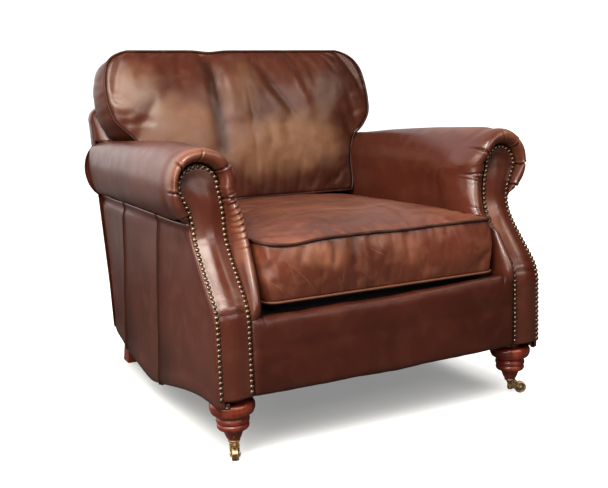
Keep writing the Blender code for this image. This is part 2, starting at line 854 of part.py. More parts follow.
def lying_rod(radius, half_length):
    """A rod along the axle, in the swivel's frame."""
    bm = rod((0, 0, 0), radius, -half_length, half_length)
    bm.transform(Matrix.Rotation(math.radians(90), 4, "X"))
    bm.transform(Matrix.Translation((WHEEL_TRAIL, 0, AXLE_Z)))
    return bm


def main():
    for obj in list(bpy.data.objects):
        bpy.data.objects.remove(obj, do_unlink=True)
    frame_wood = material("frame_wood", (0.42, 0.29, 0.17), 0.7)
    leather = material("red_brown_leather", (0.10, 0.030, 0.018), 0.42)
    cushion_leather = material("worn_cushion_leather", (0.19, 0.062, 0.030), 0.45)
    mahogany = material("mahogany", (0.20, 0.035, 0.018), 0.25)
    brass = material("old_brass", (0.55, 0.36, 0.16), 0.35, 1.0)
    steel = material("spring_steel", (0.35, 0.35, 0.36), 0.4, 1.0)
    webbing = material("jute_webbing", (0.45, 0.33, 0.19), 0.95)
    cloth = material("black_cambric", (0.02, 0.02, 0.02), 0.95)
    foam = material("foam", (0.80, 0.74, 0.55), 0.9)

    seat_rails(frame_wood)
    corner_blocks(frame_wood)
    arm_frame(frame_wood)
    back_frame(frame_wood, webbing)
    seat_springs(steel)
    arm_facings(leather)
    arm_rolls(leather)
    inside_arms(leather)
    outside_arms(leather)
    front_border(leather)
    back_panels(leather)
    back_edges(leather)
    seat_deck(cloth)
    dust_cover(cloth)
    seat_cushion(cushion_leather, foam)
    back_cushion(cushion_leather, foam)
    front_legs(mahogany)
    rear_legs(mahogany)
    for side, sign in SIDES:
        caster(side, sign, brass)


main()
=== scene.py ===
# %% [markdown]
# # A worn leather club chair
#
# The hard facts of this chair, its sizes, joints and weights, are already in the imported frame. This
# lesson dresses that frame: leather pulled over padding, two loose cushions, brass nails, turned legs.
# Each step first says what the piece is on a real chair, then builds it in a few short cells.
#
# Distances are metres. The chair stands on z = 0 and faces -Y, and +X is on the right of someone who
# looks at it.

import bisect
import json
import math

import bmesh
import bpy
from mathutils import Matrix, Vector, noise


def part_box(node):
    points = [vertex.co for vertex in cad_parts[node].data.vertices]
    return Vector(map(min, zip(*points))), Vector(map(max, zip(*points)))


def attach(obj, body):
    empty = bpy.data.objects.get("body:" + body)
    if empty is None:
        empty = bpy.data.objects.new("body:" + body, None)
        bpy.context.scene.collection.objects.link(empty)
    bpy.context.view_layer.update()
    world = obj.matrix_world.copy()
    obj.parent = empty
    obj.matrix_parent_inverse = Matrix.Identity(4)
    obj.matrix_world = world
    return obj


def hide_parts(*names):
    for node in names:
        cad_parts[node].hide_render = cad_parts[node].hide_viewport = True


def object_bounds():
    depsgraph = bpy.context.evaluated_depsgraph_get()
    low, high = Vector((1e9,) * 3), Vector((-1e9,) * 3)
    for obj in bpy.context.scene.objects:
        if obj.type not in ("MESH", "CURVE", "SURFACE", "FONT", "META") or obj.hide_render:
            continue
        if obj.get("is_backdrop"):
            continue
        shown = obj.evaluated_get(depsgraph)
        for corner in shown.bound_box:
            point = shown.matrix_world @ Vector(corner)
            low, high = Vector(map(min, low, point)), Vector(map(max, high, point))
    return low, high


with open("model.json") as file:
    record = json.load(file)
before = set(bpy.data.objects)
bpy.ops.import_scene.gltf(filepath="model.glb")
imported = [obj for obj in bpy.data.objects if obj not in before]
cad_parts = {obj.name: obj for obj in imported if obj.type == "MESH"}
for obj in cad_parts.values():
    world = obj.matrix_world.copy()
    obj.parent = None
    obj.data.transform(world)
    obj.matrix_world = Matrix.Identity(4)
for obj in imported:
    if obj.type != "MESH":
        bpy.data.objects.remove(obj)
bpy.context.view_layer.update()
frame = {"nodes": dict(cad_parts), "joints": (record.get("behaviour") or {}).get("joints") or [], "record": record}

# %% [markdown]
# ## Where things are
# Upholstery is described most easily by how deep a point lies behind the plane of the front border. So
# every depth below is measured from that plane, which the frame gives, and `deep` turns it into a Y.

# %% Reference measures, read from the frame
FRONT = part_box("arm_facing_right")[0].y
SIDES = (("left", -1), ("right", 1))
roll_low, roll_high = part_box("arm_roll_right")
ROLL_R = (roll_high.x - roll_low.x) / 2
ROLL_X = (roll_high.x + roll_low.x) / 2
ARM_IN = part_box("inside_arm_right")[0].x
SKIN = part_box("outside_arm_right")[1].x
# The outside back leans by LEAN above KINK_Z and by KICK below it. The hides end REAR_GAP ahead of it.
LEAN = math.tan(math.radians(13.35))
KINK_DEPTH, KINK_Z, KICK = 0.902, 0.245, 0.124
REAR_GAP = 0.0125


def deep(distance):
    """Y of a point this far behind the front border's plane."""
    return FRONT + distance


def outer_back(z):
    """Depth of the outside back: nearly upright below the seat, raked above it."""
    return KINK_DEPTH + (z - KINK_Z) * (LEAN if z > KINK_Z else KICK)


print("front plane", round(FRONT, 4), "roll middle and radius", round(ROLL_X, 4), round(ROLL_R, 4))

# %% [markdown]
# ## Curves through stations
# An upholsterer marks a hide at stations along its length, and most shapes here are given in that way:
# a value at each of a few stations, with a smooth curve through them. Curve objects could hold the
# same routes, but a function can be asked for its value anywhere, which the grids below need.

# %% Smooth curves through a few points
def soft_curve(pairs):
    """A smooth function through (station, value) pairs, level beyond both ends."""
    stations = [pair[0] for pair in pairs]
    values = [pair[1] for pair in pairs]
    slopes = []
    for i in range(len(pairs)):
        a, b = max(0, i - 1), min(len(pairs) - 1, i + 1)
        slopes.append((values[b] - values[a]) / (stations[b] - stations[a]))

    def value(station):
        if station <= stations[0]:
            return values[0]
        if station >= stations[-1]:
            return values[-1]
        i = bisect.bisect_right(stations, station) - 1
        width = stations[i + 1] - stations[i]
        s = (station - stations[i]) / width
        start = (2 * s**3 - 3 * s**2 + 1) * values[i] + (s**3 - 2 * s**2 + s) * width * slopes[i]
        end = (3 * s**2 - 2 * s**3) * values[i + 1] + (s**3 - s**2) * width * slopes[i + 1]
        return start + end

    return value


def soft_path(points):
    """A smooth route through points, as a function of the share of its length."""
    stations = [0.0]
    for near, far in zip(points, points[1:]):
        stations.append(stations[-1] + math.dist(near, far))
    axes = [soft_curve(list(zip(stations, values))) for values in zip(*points)]
    return lambda share: Vector([axis(share * stations[-1]) for axis in axes])


# %% Soft steps, hills and stations
def smooth(low, high, value):
    """0 below low, 1 above high, and an easy slope between them."""
    share = min(1.0, max(0.0, (value - low) / (high - low)))
    return share * share * (3 - 2 * share)


def bump(value, middle, width):
    """A soft hill, 1 at its middle."""
    return math.exp(-(((value - middle) / width) ** 2))


FINE_OFFSETS = (0, 0.0013, 0.0026, 0.004, 0.006, 0.009)


def spaced(low, high, step, fine=()):
    """Stations from low to high, closer together around each fine place."""
    count = max(1, round((high - low) / step))
    stations = {round(low + (high - low) * i / count, 5) for i in range(count + 1)}
    for place in fine:
        for offset in FINE_OFFSETS:
            stations.add(round(place - offset, 5))
            stations.add(round(place + offset, 5))
    ordered = sorted(s for s in stations if low <= s <= high)
    return [s for i, s in enumerate(ordered) if i == 0 or s - ordered[i - 1] > 0.0006]


# %% [markdown]
# ## Camera, light and floor
# The chair stands on a plain pale floor in a studio. The floor glows, less under the chair, which paints
# the chair's shadow. The camera is a little above the arms and to the left. A large soft light hangs
# above and in front, which draws the long highlights on leather. A white wall behind and beside the
# chair gives its outline a pale edge. The room behind the camera is darker, as it usually is.

# %% Camera
camera = bpy.data.objects.new("camera", bpy.data.cameras.new("camera"))
camera.data.sensor_width = 36.0
camera.data.lens = 49.3152
across = Vector((0.89270069, -0.44892384, -0.03940652))
upwards = Vector((0.10242723, 0.11696758, 0.98783969))
turn = Matrix((across, upwards, across.cross(upwards))).transposed()
camera.matrix_world = Matrix.Translation((-0.97201, deep(-1.52913), 0.70463)) @ turn.to_4x4()
bpy.context.scene.collection.objects.link(camera)
bpy.context.scene.camera = camera
bpy.context.scene.view_settings.view_transform = "Standard"
bpy.context.scene.view_settings.exposure = 0.25
bpy.context.scene.view_settings.gamma = 0.87
print("camera at", [round(c, 3) for c in camera.location])

# %% [markdown]
# ## Wiring shaders
# A shader is a set of nodes joined by links. Set up one socket at a time it takes many lines, so these
# helpers add a node and give each of its sockets a number, a colour or another node's output at once.

# %% Shader helpers
def feed(tree, socket, value):
    """Gives a socket another node's output, a number, or a colour of three numbers."""
    if isinstance(value, bpy.types.NodeSocket):
        tree.links.new(value, socket)
    elif socket.type == "RGBA":
        socket.default_value = (*value[:3], 1.0)
    else:
        socket.default_value = value


def add_node(tree, kind, settings=None, **sockets):
    """Adds a node. Sockets are given by name, as a number, a colour or another node's output."""
    made = tree.nodes.new(kind)
    for name, value in (settings or {}).items():
        setattr(made, name, value)
    for name, value in sockets.items():
        feed(tree, made.inputs[name.replace("_", " ")], value)
    return made


def maths(tree, operation, *values):
    """A Math node on numbers or outputs. Returns its output."""
    made = add_node(tree, "ShaderNodeMath", {"operation": operation})
    for socket, value in zip(made.inputs, values):
        feed(tree, socket, value)
    return made.outputs[0]


def vector_maths(tree, operation, *values):
    """A Vector Math node on outputs or triples. Returns its vector, or its number for a length."""
    made = add_node(tree, "ShaderNodeVectorMath", {"operation": operation})
    for socket, value in zip(made.inputs, values):
        feed(tree, socket, value)
    return made.outputs["Value" if operation == "LENGTH" else "Vector"]


def mixed(tree, factor, first, second):
    """Mixes two colours and returns the output."""
    made = add_node(tree, "ShaderNodeMix", {"data_type": "RGBA"})
    for index, value in ((0, factor), (6, first), (7, second)):
        feed(tree, made.inputs[index], value)
    return made.outputs[2]


def stretched(tree, value, from_low, from_high, to_low=0.0, to_high=1.0):
    """Carries a range of values to another, softly, and holds it there."""
    return add_node(
        tree,
        "ShaderNodeMapRange",
        {"interpolation_type": "SMOOTHSTEP"},
        Value=value,
        From_Min=from_low,
        From_Max=from_high,
        To_Min=to_low,
        To_Max=to_high,
    ).outputs[0]


# %% Shader groups, built once and placed in many materials
def new_group(name, inputs, outputs):
    """A shader node group with float or vector inputs, and its two end nodes."""
    group = bpy.data.node_groups.new(name, "ShaderNodeTree")
    for label, kind, default in inputs:
        socket = group.interface.new_socket(label, in_out="INPUT", socket_type=kind)
        if default is not None:
            socket.default_value = default
    for label, kind in outputs:
        group.interface.new_socket(label, in_out="OUTPUT", socket_type=kind)
    return group, group.nodes.new("NodeGroupInput"), group.nodes.new("NodeGroupOutput")


def use_group(tree, group, **sockets):
    """Places a group in a material with its own values."""
    return add_node(tree, "ShaderNodeGroup", {"node_tree": group}, **sockets)


# %% World: white wall behind the chair, dimmer room behind the camera
world = bpy.data.worlds.new("studio")
bpy.context.scene.world = world
world.use_nodes = True
sky = world.node_tree
sky.nodes.clear()
where = add_node(sky, "ShaderNodeTexCoord").outputs["Generated"]
axes = add_node(sky, "ShaderNodeSeparateXYZ", Vector=where).outputs
behind = stretched(sky, axes["Y"], 0.05, 0.80)
low_wall = maths(
    sky,
    "MULTIPLY",
    stretched(sky, axes["Z"], -0.30, -0.05),
    stretched(sky, axes["Z"], 0.25, 0.05, 0.0, 0.90),
)
mid_wall = maths(
    sky, "MULTIPLY", stretched(sky, axes["Z"], 0.05, 0.25), stretched(sky, axes["Z"], 0.60, 0.40)
)
mid_wall = maths(sky, "MULTIPLY", mid_wall, stretched(sky, axes["X"], 0.40, 0.02, 0.62, 1.22))
ceiling = maths(
    sky,
    "MULTIPLY",
    stretched(sky, axes["Y"], -0.10, 0.30),
    stretched(sky, axes["Z"], 0.40, 0.60, 0.0, 0.60),
)
wall = maths(sky, "MULTIPLY", behind, maths(sky, "ADD", low_wall, mid_wall))
glow = maths(sky, "ADD", maths(sky, "ADD", wall, ceiling), 0.02)
seen = add_node(sky, "ShaderNodeLightPath").outputs["Is Camera Ray"]
strength = maths(sky, "ADD", maths(sky, "MULTIPLY", glow, maths(sky, "SUBTRACT", 1.0, seen)), seen)
lamp = add_node(sky, "ShaderNodeBackground", Color=(1.0, 0.995, 0.985, 1.0), Strength=strength)
add_node(sky, "ShaderNodeOutputWorld", Surface=lamp.outputs[0])
print("world nodes:", len(sky.nodes))

# %% Soft lights
def soft_light(name, place, target, size, power, colour):
    """Hangs a rectangular lamp of this width and height at a place, aimed at a target."""
    data = bpy.data.lights.new(name, "AREA")
    data.shape, data.size, data.size_y = "RECTANGLE", size[0], size[1]
    data.energy, data.color = power, colour
    lamp = bpy.data.objects.new(name, data)
    lamp.location = place
    lamp.rotation_euler = (Vector(target) - Vector(place)).to_track_quat("-Z", "Y").to_euler()
    bpy.context.scene.collection.objects.link(lamp)


soft_light("key_light", (-1.2, -1.5, 2.0), (0, -0.10, 0.4), (1.1, 1.1), 46.0, (1.0, 0.97, 0.88))
soft_light("left_light", (-1.8, -0.6, 1.75), (-0.1, -0.1, 0.4), (1.0, 1.3), 17.0, (1.0, 0.97, 0.88))
soft_light("front_light", (0.3, -2.65, 1.75), (0, -0.2, 0.5), (2.4, 0.9), 24.0, (1.0, 0.97, 0.92))
soft_light("right_light", (1.05, -0.95, 1.75), (0.35, -0.35, 0.42), (0.6, 0.6), 5.5, (1.0, 0.90, 0.72))
soft_light("side_light", (-2.0, -1.6, 0.66), (-0.1, -0.3, 0.5), (1.2, 1.05), 14.0, (1.0, 0.95, 0.82))
print("lights:", [data.name for data in bpy.data.lights])

# %% Pale floor, whose glow paints the chair's shadow
floor_bm = bmesh.new()
bmesh.ops.create_grid(floor_bm, x_segments=1, y_segments=1, size=30)
floor_mesh = bpy.data.meshes.new("floor")
floor_bm.to_mesh(floor_mesh)
floor_bm.free()
floor = bpy.data.objects.new("floor", floor_mesh)
bpy.context.scene.collection.objects.link(floor)
# Half the size of the patch under the chair where the floor glows less, which paints the chair's shadow.
PAINTED_SHADOW_HALF = (0.30, 0.34, 0.0)

pale = bpy.data.materials.new("glowing_floor_with_painted_shadow")
pale.use_nodes = True
pale_tree = pale.node_tree
floor_place = add_node(pale_tree, "ShaderNodeTexCoord").outputs["Object"]
outside = vector_maths(pale_tree, "SUBTRACT", vector_maths(pale_tree, "ABSOLUTE", floor_place), PAINTED_SHADOW_HALF)
reach = vector_maths(pale_tree, "LENGTH", vector_maths(pale_tree, "MAXIMUM", outside, (0, 0, 0)))
glow_with_painted_shadow = stretched(pale_tree, reach, 0.02, 0.28, 0.24, 1.0)
# Rays other than the camera's see a darker floor that glows only far behind: a painted shade and a painted glow in
# what the leather reflects.
floor_y = add_node(pale_tree, "ShaderNodeSeparateXYZ", Vector=floor_place).outputs["Y"]
far_floor_painted_glow = stretched(pale_tree, floor_y, 1.2, 3.0, 0.0, 0.20)
seen_floor = add_node(pale_tree, "ShaderNodeLightPath").outputs["Is Camera Ray"]
floor_painted_glow = add_node(pale_tree, "ShaderNodeMix", Factor=seen_floor, A=far_floor_painted_glow, B=glow_with_painted_shadow).outputs[0]
pale_finish = {
    "Base Color": mixed(pale_tree, seen_floor, (0.12, 0.12, 0.12), (0.62, 0.62, 0.62)),
    "Roughness": 0.85,
    "Specular IOR Level": 0.1,
    "Emission Color": (1, 1, 1),
    "Emission Strength": floor_painted_glow,
}
for socket_name, value in pale_finish.items():
    feed(pale_tree, pale_tree.nodes["Principled BSDF"].inputs[socket_name], value)
floor.data.materials.append(pale)
floor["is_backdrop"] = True
print("floor nodes:", len(pale_tree.nodes))

# %% [markdown]
# ## Finishes
# Old club leather is never one colour. The dye is darker in patches, the surface is rubbed lighter
# where people sit and lean, thin creases run over it and the wax on it shines unevenly. Each of these
# effects is a small shader group, built once. A leather is then those effects mixed with its own
# colours, so the frame, the cushions and the piping are cousins. An attribute comes with each mesh
# that is below 0 in a tuck and above 0 on a ridge, and is lowered where shade is painted. Tucks are
# painted darker as shade, and ridges paler, partly as wear and partly as painted highlight.

# %% Shared effect: the pebbled grain
VECTOR, FLOAT = "NodeSocketVector", "NodeSocketFloat"

grain_group, grain_in, grain_out = new_group(
    "leather_grain", [("Vector", VECTOR, None), ("Scale", FLOAT, 600.0)], [("Height", FLOAT)]
)
pebbles = add_node(
    grain_group,
    "ShaderNodeTexVoronoi",
    {"feature": "SMOOTH_F1"},
    Vector=grain_in.outputs["Vector"],
    Scale=grain_in.outputs["Scale"],
)
pores = add_node(
    grain_group,
    "ShaderNodeTexNoise",
    Vector=grain_in.outputs["Vector"],
    Scale=maths(grain_group, "MULTIPLY", grain_in.outputs["Scale"], 0.45),
    Detail=3.0,
)
grain_height = maths(
    grain_group,
    "ADD",
    maths(grain_group, "MULTIPLY", pebbles.outputs["Distance"], -0.8),
    maths(grain_group, "MULTIPLY", pores.outputs[0], 0.7),
)
grain_group.links.new(grain_height, grain_out.inputs["Height"])

# %% Shared effect: dye patches
patch_group, patch_in, patch_out = new_group(
    "dye_patches", [("Vector", VECTOR, None), ("Scale", FLOAT, 8.0)], [("Mask", FLOAT)]
)
cloudy = add_node(
    patch_group,
    "ShaderNodeTexNoise",
    Vector=patch_in.outputs["Vector"],
    Scale=patch_in.outputs["Scale"],
    Detail=5.0,
    Roughness=0.5,
    Distortion=0.2,
)
patch_group.links.new(stretched(patch_group, cloudy.outputs[0], 0.32, 0.68), patch_out.inputs["Mask"])

# %% Shared effect: fine creases, which run along the edges of wandering cells
crease_group, crease_in, crease_out = new_group(
    "fine_creases",
    [("Vector", VECTOR, None), ("Scale", FLOAT, 26.0), ("Width", FLOAT, 0.035)],
    [("Mask", FLOAT)],
)
warp = add_node(
    crease_group,
    "ShaderNodeTexNoise",
    Vector=crease_in.outputs["Vector"],
    Scale=maths(crease_group, "MULTIPLY", crease_in.outputs["Scale"], 0.5),
    Detail=3.0,
)
warped = vector_maths(
    crease_group, "MULTIPLY_ADD", warp.outputs["Color"], (0.05, 0.05, 0.05), crease_in.outputs["Vector"]
)
cells = add_node(
    crease_group,
    "ShaderNodeTexVoronoi",
    {"feature": "DISTANCE_TO_EDGE"},
    Vector=warped,
    Scale=crease_in.outputs["Scale"],
)
thin = stretched(crease_group, cells.outputs["Distance"], 0.0, crease_in.outputs["Width"], 1.0, 0.0)
some = add_node(
    crease_group,
    "ShaderNodeTexNoise",
    Vector=crease_in.outputs["Vector"],
    Scale=maths(crease_group, "MULTIPLY", crease_in.outputs["Scale"], 0.35),
    Detail=2.0,
)
crease_group.links.new(
    maths(crease_group, "MULTIPLY", thin, stretched(crease_group, some.outputs[0], 0.45, 0.62)),
    crease_out.inputs["Mask"],
)

# %% Shared effect: rubbed scratches, three sets of thin broken lines
scratch_group, scratch_in, scratch_out = new_group(
    "rubbed_scratches", [("Vector", VECTOR, None), ("Scale", FLOAT, 9.0)], [("Mask", FLOAT)]
)
scratch_masks = []
for lean in (0.5, -0.75, 1.25):
    turned_round = add_node(
        scratch_group,
        "ShaderNodeMapping",
        Vector=scratch_in.outputs["Vector"],
        Location=(lean, lean * 2, 0),
        Rotation=(lean, 0.6 * lean, 0.4 * lean),
    )
    lines = add_node(
        scratch_group,
        "ShaderNodeTexWave",
        {"wave_profile": "TRI"},
        Vector=turned_round.outputs[0],
        Scale=scratch_in.outputs["Scale"],
        Distortion=3.0,
        Detail=1.0,
        Detail_Scale=0.8,
    )
    line = stretched(scratch_group, lines.outputs["Fac"], 0.968, 0.990)
    here = add_node(
        scratch_group,
        "ShaderNodeTexNoise",
        Vector=turned_round.outputs[0],
        Scale=maths(scratch_group, "MULTIPLY", scratch_in.outputs["Scale"], 2.2),
        Detail=2.0,
    )
    broken_up = stretched(scratch_group, here.outputs[0], 0.48, 0.66)
    scratch_masks.append(maths(scratch_group, "MULTIPLY", line, broken_up))
scratch_sum = maths(
    scratch_group, "MAXIMUM", maths(scratch_group, "MAXIMUM", *scratch_masks[:2]), scratch_masks[2]
)
scratch_group.links.new(scratch_sum, scratch_out.inputs["Mask"])
print("groups:", [group.name for group in bpy.data.node_groups])


# %% [markdown]
# ## One recipe for every leather
# The colour goes from dark to mid in broad patches, and to a pale tone where hands, legs and backs rub
# and where sheen is painted: in chosen spots and on the tops of folds, which are partly wear and partly
# painted highlight, and along scratches. Tucks go darker, which is painted shade. The spots could be
# painted on an image, but each piece would then need unwrapping. Here a spot is a soft ellipsoid in the
# chair's own space, with its edge made ragged, and it colours whatever lies inside it.

# %% A leather from those effects
# How far the edge of a spot of wear and painted sheen wanders, and how strongly the fine creases show.
RAGGED = 0.14
CRACKED = 0.12


def wear_and_sheen_spots(tree, place, spots):
    """The strongest of several soft ellipsoids, each given by its middle, its radii and its strength."""
    drift = add_node(tree, "ShaderNodeTexNoise", Vector=place, Scale=9.0, Detail=2.0).outputs["Color"]
    ragged = vector_maths(tree, "MULTIPLY_ADD", drift, (RAGGED,) * 3, place)
    centred = vector_maths(tree, "SUBTRACT", ragged, (RAGGED / 2,) * 3)
    strongest = None
    for middle, radii, strength in spots:
        away = vector_maths(tree, "SUBTRACT", centred, middle)
        length = vector_maths(tree, "LENGTH", vector_maths(tree, "DIVIDE", away, radii))
        spot = stretched(tree, length, 0.35, 1.0, strength, 0.0)
        strongest = spot if strongest is None else maths(tree, "MAXIMUM", strongest, spot)
    return strongest


def leather(
    name,
    dark,
    mid,
    wear_and_sheen_colour,
    roughness=0.40,
    wear=0.35,
    scratches=0.0,
    waves=0.25,
    spots=(),
    ridge_wear_and_highlight_amount=0.5,
    shine=0.85,
):
    """Waxed leather in three tones: dark where the dye is thick, mid, and a pale tone where it is rubbed and where
    highlight is painted; tucks get painted shade.
    """
    made = bpy.data.materials.new(name)
    made.use_nodes = True
    tree = made.node_tree
    shader = tree.nodes["Principled BSDF"]
    place = add_node(tree, "ShaderNodeTexCoord").outputs["Object"]
    broad = use_group(tree, patch_group, Vector=place, Scale=5.0).outputs["Mask"]
    small = use_group(tree, patch_group, Vector=place, Scale=23.0).outputs["Mask"]
    creases = use_group(tree, crease_group, Vector=place, Scale=75.0, Width=0.07).outputs["Mask"]
    grain = use_group(tree, grain_group, Vector=place, Scale=650.0).outputs["Height"]
    fold_and_shade = add_node(tree, "ShaderNodeAttribute", {"attribute_name": "fold_and_shade"}).outputs["Fac"]
    # The attribute read here gives two masks: tucks, painted darker as shade, and ridges, made paler partly as
    # wear and partly as painted highlight.
    tuck = stretched(tree, fold_and_shade, -1.0, -0.10, 1.0, 0.0)
    ridge_wear_and_highlight = stretched(tree, fold_and_shade, 0.15, 1.0)

    wear_and_sheen = maths(tree, "MULTIPLY", stretched(tree, small, 0.55, 1.0), wear)
    # Spots are partly rubbed wear and partly painted sheen.
    if spots:
        area = wear_and_sheen_spots(tree, place, spots)
        broken = maths(tree, "MULTIPLY", area, stretched(tree, small, 0.0, 1.0, 0.75, 1.0))
        wear_and_sheen = maths(tree, "MAXIMUM", wear_and_sheen, broken)
    wear_and_sheen = maths(tree, "MAXIMUM", wear_and_sheen, maths(tree, "MULTIPLY", ridge_wear_and_highlight, ridge_wear_and_highlight_amount))
    if scratches:
        lines = use_group(tree, scratch_group, Vector=place, Scale=7.0).outputs["Mask"]
        wear_and_sheen = maths(tree, "MAXIMUM", wear_and_sheen, maths(tree, "MULTIPLY", lines, scratches))
    colour = mixed(tree, stretched(tree, broad, 0.1, 0.9, 0.25, 1.0), dark, mid)
    colour = mixed(tree, wear_and_sheen, colour, wear_and_sheen_colour)
    deeper, deepest = tuple(c * 0.5 for c in dark), tuple(c * 0.35 for c in dark)
    colour = mixed(tree, maths(tree, "MULTIPLY", creases, CRACKED), colour, deeper)
    # Painted shade: tucks, seams and the places that the meshes mark as shaded go towards the darkest tone.
    colour = mixed(tree, maths(tree, "MULTIPLY", tuck, 0.85), colour, deepest)
    tree.links.new(colour, shader.inputs["Base Color"])
    rough = stretched(tree, small, 0.0, 1.0, roughness - 0.025, roughness + 0.035)
    rough = maths(tree, "ADD", rough, maths(tree, "MULTIPLY", wear_and_sheen, 0.10))
    tree.links.new(rough, shader.inputs["Roughness"])
    shader.inputs["Specular IOR Level"].default_value = shine

    rolling = add_node(tree, "ShaderNodeTexNoise", Vector=place, Scale=11.0, Detail=1.0, Roughness=0.4)
    height = maths(tree, "MULTIPLY", rolling.outputs[0], 0.006 * waves)
    height = maths(tree, "ADD", height, maths(tree, "MULTIPLY", creases, -0.0006 * CRACKED))
    height = maths(tree, "ADD", height, maths(tree, "MULTIPLY", grain, 0.00006))
    relief = add_node(tree, "ShaderNodeBump", Height=height, Strength=1.0, Distance=1.0)
    tree.links.new(relief.outputs[0], shader.inputs["Normal"])
    return made


# %% The leather of the frame, rubbed on the scrolls and beside the knees, with highlight painted there and on the right roll
frame_leather = leather(
    "frame_leather",
    (0.104, 0.0240, 0.0130),
    (0.132, 0.0325, 0.0180),
    (0.30, 0.115, 0.058),
    roughness=0.30,
    wear=0.08,
    ridge_wear_and_highlight_amount=0.22,
    waves=0.06,
    spots=(
        # The scroll and knee spots are wear with painted highlight in them; the last, long one is a painted
        # highlight along the top of the right roll.
        ((-0.410, deep(0.110), 0.630), (0.085, 0.060, 0.055), 0.72),
        ((-0.462, deep(0.115), 0.580), (0.030, 0.050, 0.075), 0.50),
        ((-0.325, deep(0.050), 0.480), (0.030, 0.090, 0.130), 0.60),
        ((0.420, deep(0.110), 0.630), (0.085, 0.060, 0.055), 0.80),
        ((0.360, deep(0.080), 0.430), (0.050, 0.090, 0.110), 0.50),
        ((0.375, deep(0.300), 0.665), (0.070, 0.260, 0.030), 0.50),
    ),
)
# %% The leather of the seat cushion, lighter and scratched
seat_leather = leather(
    "seat_leather",
    (0.105, 0.025, 0.012),
    (0.185, 0.048, 0.024),
    (0.36, 0.145, 0.075),
    roughness=0.40,
    wear=0.22,
    scratches=0.70,
    spots=(
        ((-0.16, deep(0.01), 0.425), (0.10, 0.05, 0.05), 0.75),
        ((0.02, deep(0.01), 0.420), (0.10, 0.05, 0.04), 0.50),
        ((0.20, deep(0.13), 0.465), (0.16, 0.12, 0.04), 0.50),
        ((0.05, deep(0.25), 0.475), (0.30, 0.20, 0.06), 0.35),
    ),
)
# %% The leather of the back cushion, darkest, with painted sheen in spots and pale tops on its folds that are partly rubbed, partly painted highlight
back_leather = leather(
    "back_leather",
    (0.065, 0.016, 0.009),
    (0.115, 0.031, 0.017),
    (0.34, 0.180, 0.095),
    roughness=0.36,
    wear=0.05,
    waves=0.15,
    shine=0.65,
    spots=(
        # Painted sheen: golden patches low on the face, a pale patch at the top left and one near the top in the
        # middle.
        ((-0.20, deep(0.76), 0.690), (0.15, 0.14, 0.13), 0.55),
        ((0.10, deep(0.74), 0.630), (0.29, 0.14, 0.13), 0.70),
        ((-0.33, deep(0.79), 0.800), (0.12, 0.12, 0.08), 0.30),
        ((-0.02, deep(0.79), 0.790), (0.07, 0.12, 0.13), 0.30),
    ),
    ridge_wear_and_highlight_amount=0.12,
)

# %% The leathers of the piping and of the front border; the border's tones are the frame's made darker, as painted shade on its front face
piping_leather = leather(
    "piping_leather",
    (0.030, 0.009, 0.006),
    (0.060, 0.018, 0.011),
    (0.25, 0.11, 0.07),
    roughness=0.46,
    wear=0.20,
    waves=0.05,
    ridge_wear_and_highlight_amount=0.7,
    shine=0.4,
)
painted_shade_border_leather = leather(
    "painted_shade_border_leather",
    (0.066, 0.0140, 0.0080),
    (0.092, 0.0210, 0.0115),
    (0.18, 0.060, 0.035),
    roughness=0.40,
    wear=0.10,
    shine=0.45,
)
print("leathers:", [m.name for m in bpy.data.materials if m.name.endswith("leather")])


# %% [markdown]
# ## Brass, wood and the hidden stuffs
# The legs are polished mahogany, and the casters and nails are old brass. Inside the chair are sawn
# rails, springs, jute webbing and black cambric, which keep the frame's own shapes and only get a
# finish. All of them are two colours mixed by a noise. Squeezing that noise along one axis draws it
# out into the grain of wood, so one recipe is enough.

# %% A finish of two mixed colours, for metal, wood and cloth
def simple_finish(
    name, first, second, scale, roughness, metallic=0.0, squeeze=(1, 1, 1), relief=0.0002, coat=0.0
):
    """A finish of two colours mixed by a noise, which may be stretched into a grain."""
    made = bpy.data.materials.new(name)
    made.use_nodes = True
    tree = made.node_tree
    shader = tree.nodes["Principled BSDF"]
    place = add_node(tree, "ShaderNodeTexCoord").outputs["Object"]
    drawn = add_node(tree, "ShaderNodeMapping", Vector=place, Scale=squeeze).outputs[0]
    cloudy = add_node(tree, "ShaderNodeTexNoise", Vector=drawn, Scale=scale, Detail=6.0, Distortion=0.7)
    cloud = cloudy.outputs[0]
    blend = stretched(tree, cloud, 0.35, 0.65)
    tree.links.new(mixed(tree, blend, first, second), shader.inputs["Base Color"])
    tree.links.new(stretched(tree, cloud, 0.3, 0.7, roughness[0], roughness[1]), shader.inputs["Roughness"])
    shader.inputs["Metallic"].default_value = metallic
    shader.inputs["Coat Weight"].default_value = coat
    shader.inputs["Coat Roughness"].default_value = 0.12
    height = maths(tree, "MULTIPLY", cloud, relief)
    bump_node = add_node(tree, "ShaderNodeBump", Height=height, Strength=1.0, Distance=1.0)
    tree.links.new(bump_node.outputs[0], shader.inputs["Normal"])
    return made


# %% The finishes of the legs, casters and nails
mahogany = simple_finish(
    "mahogany",
    (0.16, 0.022, 0.010),
    (0.34, 0.062, 0.028),
    30.0,
    (0.28, 0.40),
    squeeze=(1, 1, 0.12),
    coat=0.6,
)
brass = simple_finish(
    "old_brass", (0.35, 0.24, 0.13), (0.75, 0.55, 0.33), 180.0, (0.30, 0.55), metallic=1.0
)
nail_brass = simple_finish(
    "nail_brass", (0.12, 0.085, 0.062), (0.35, 0.26, 0.185), 400.0, (0.28, 0.42), metallic=1.0
)

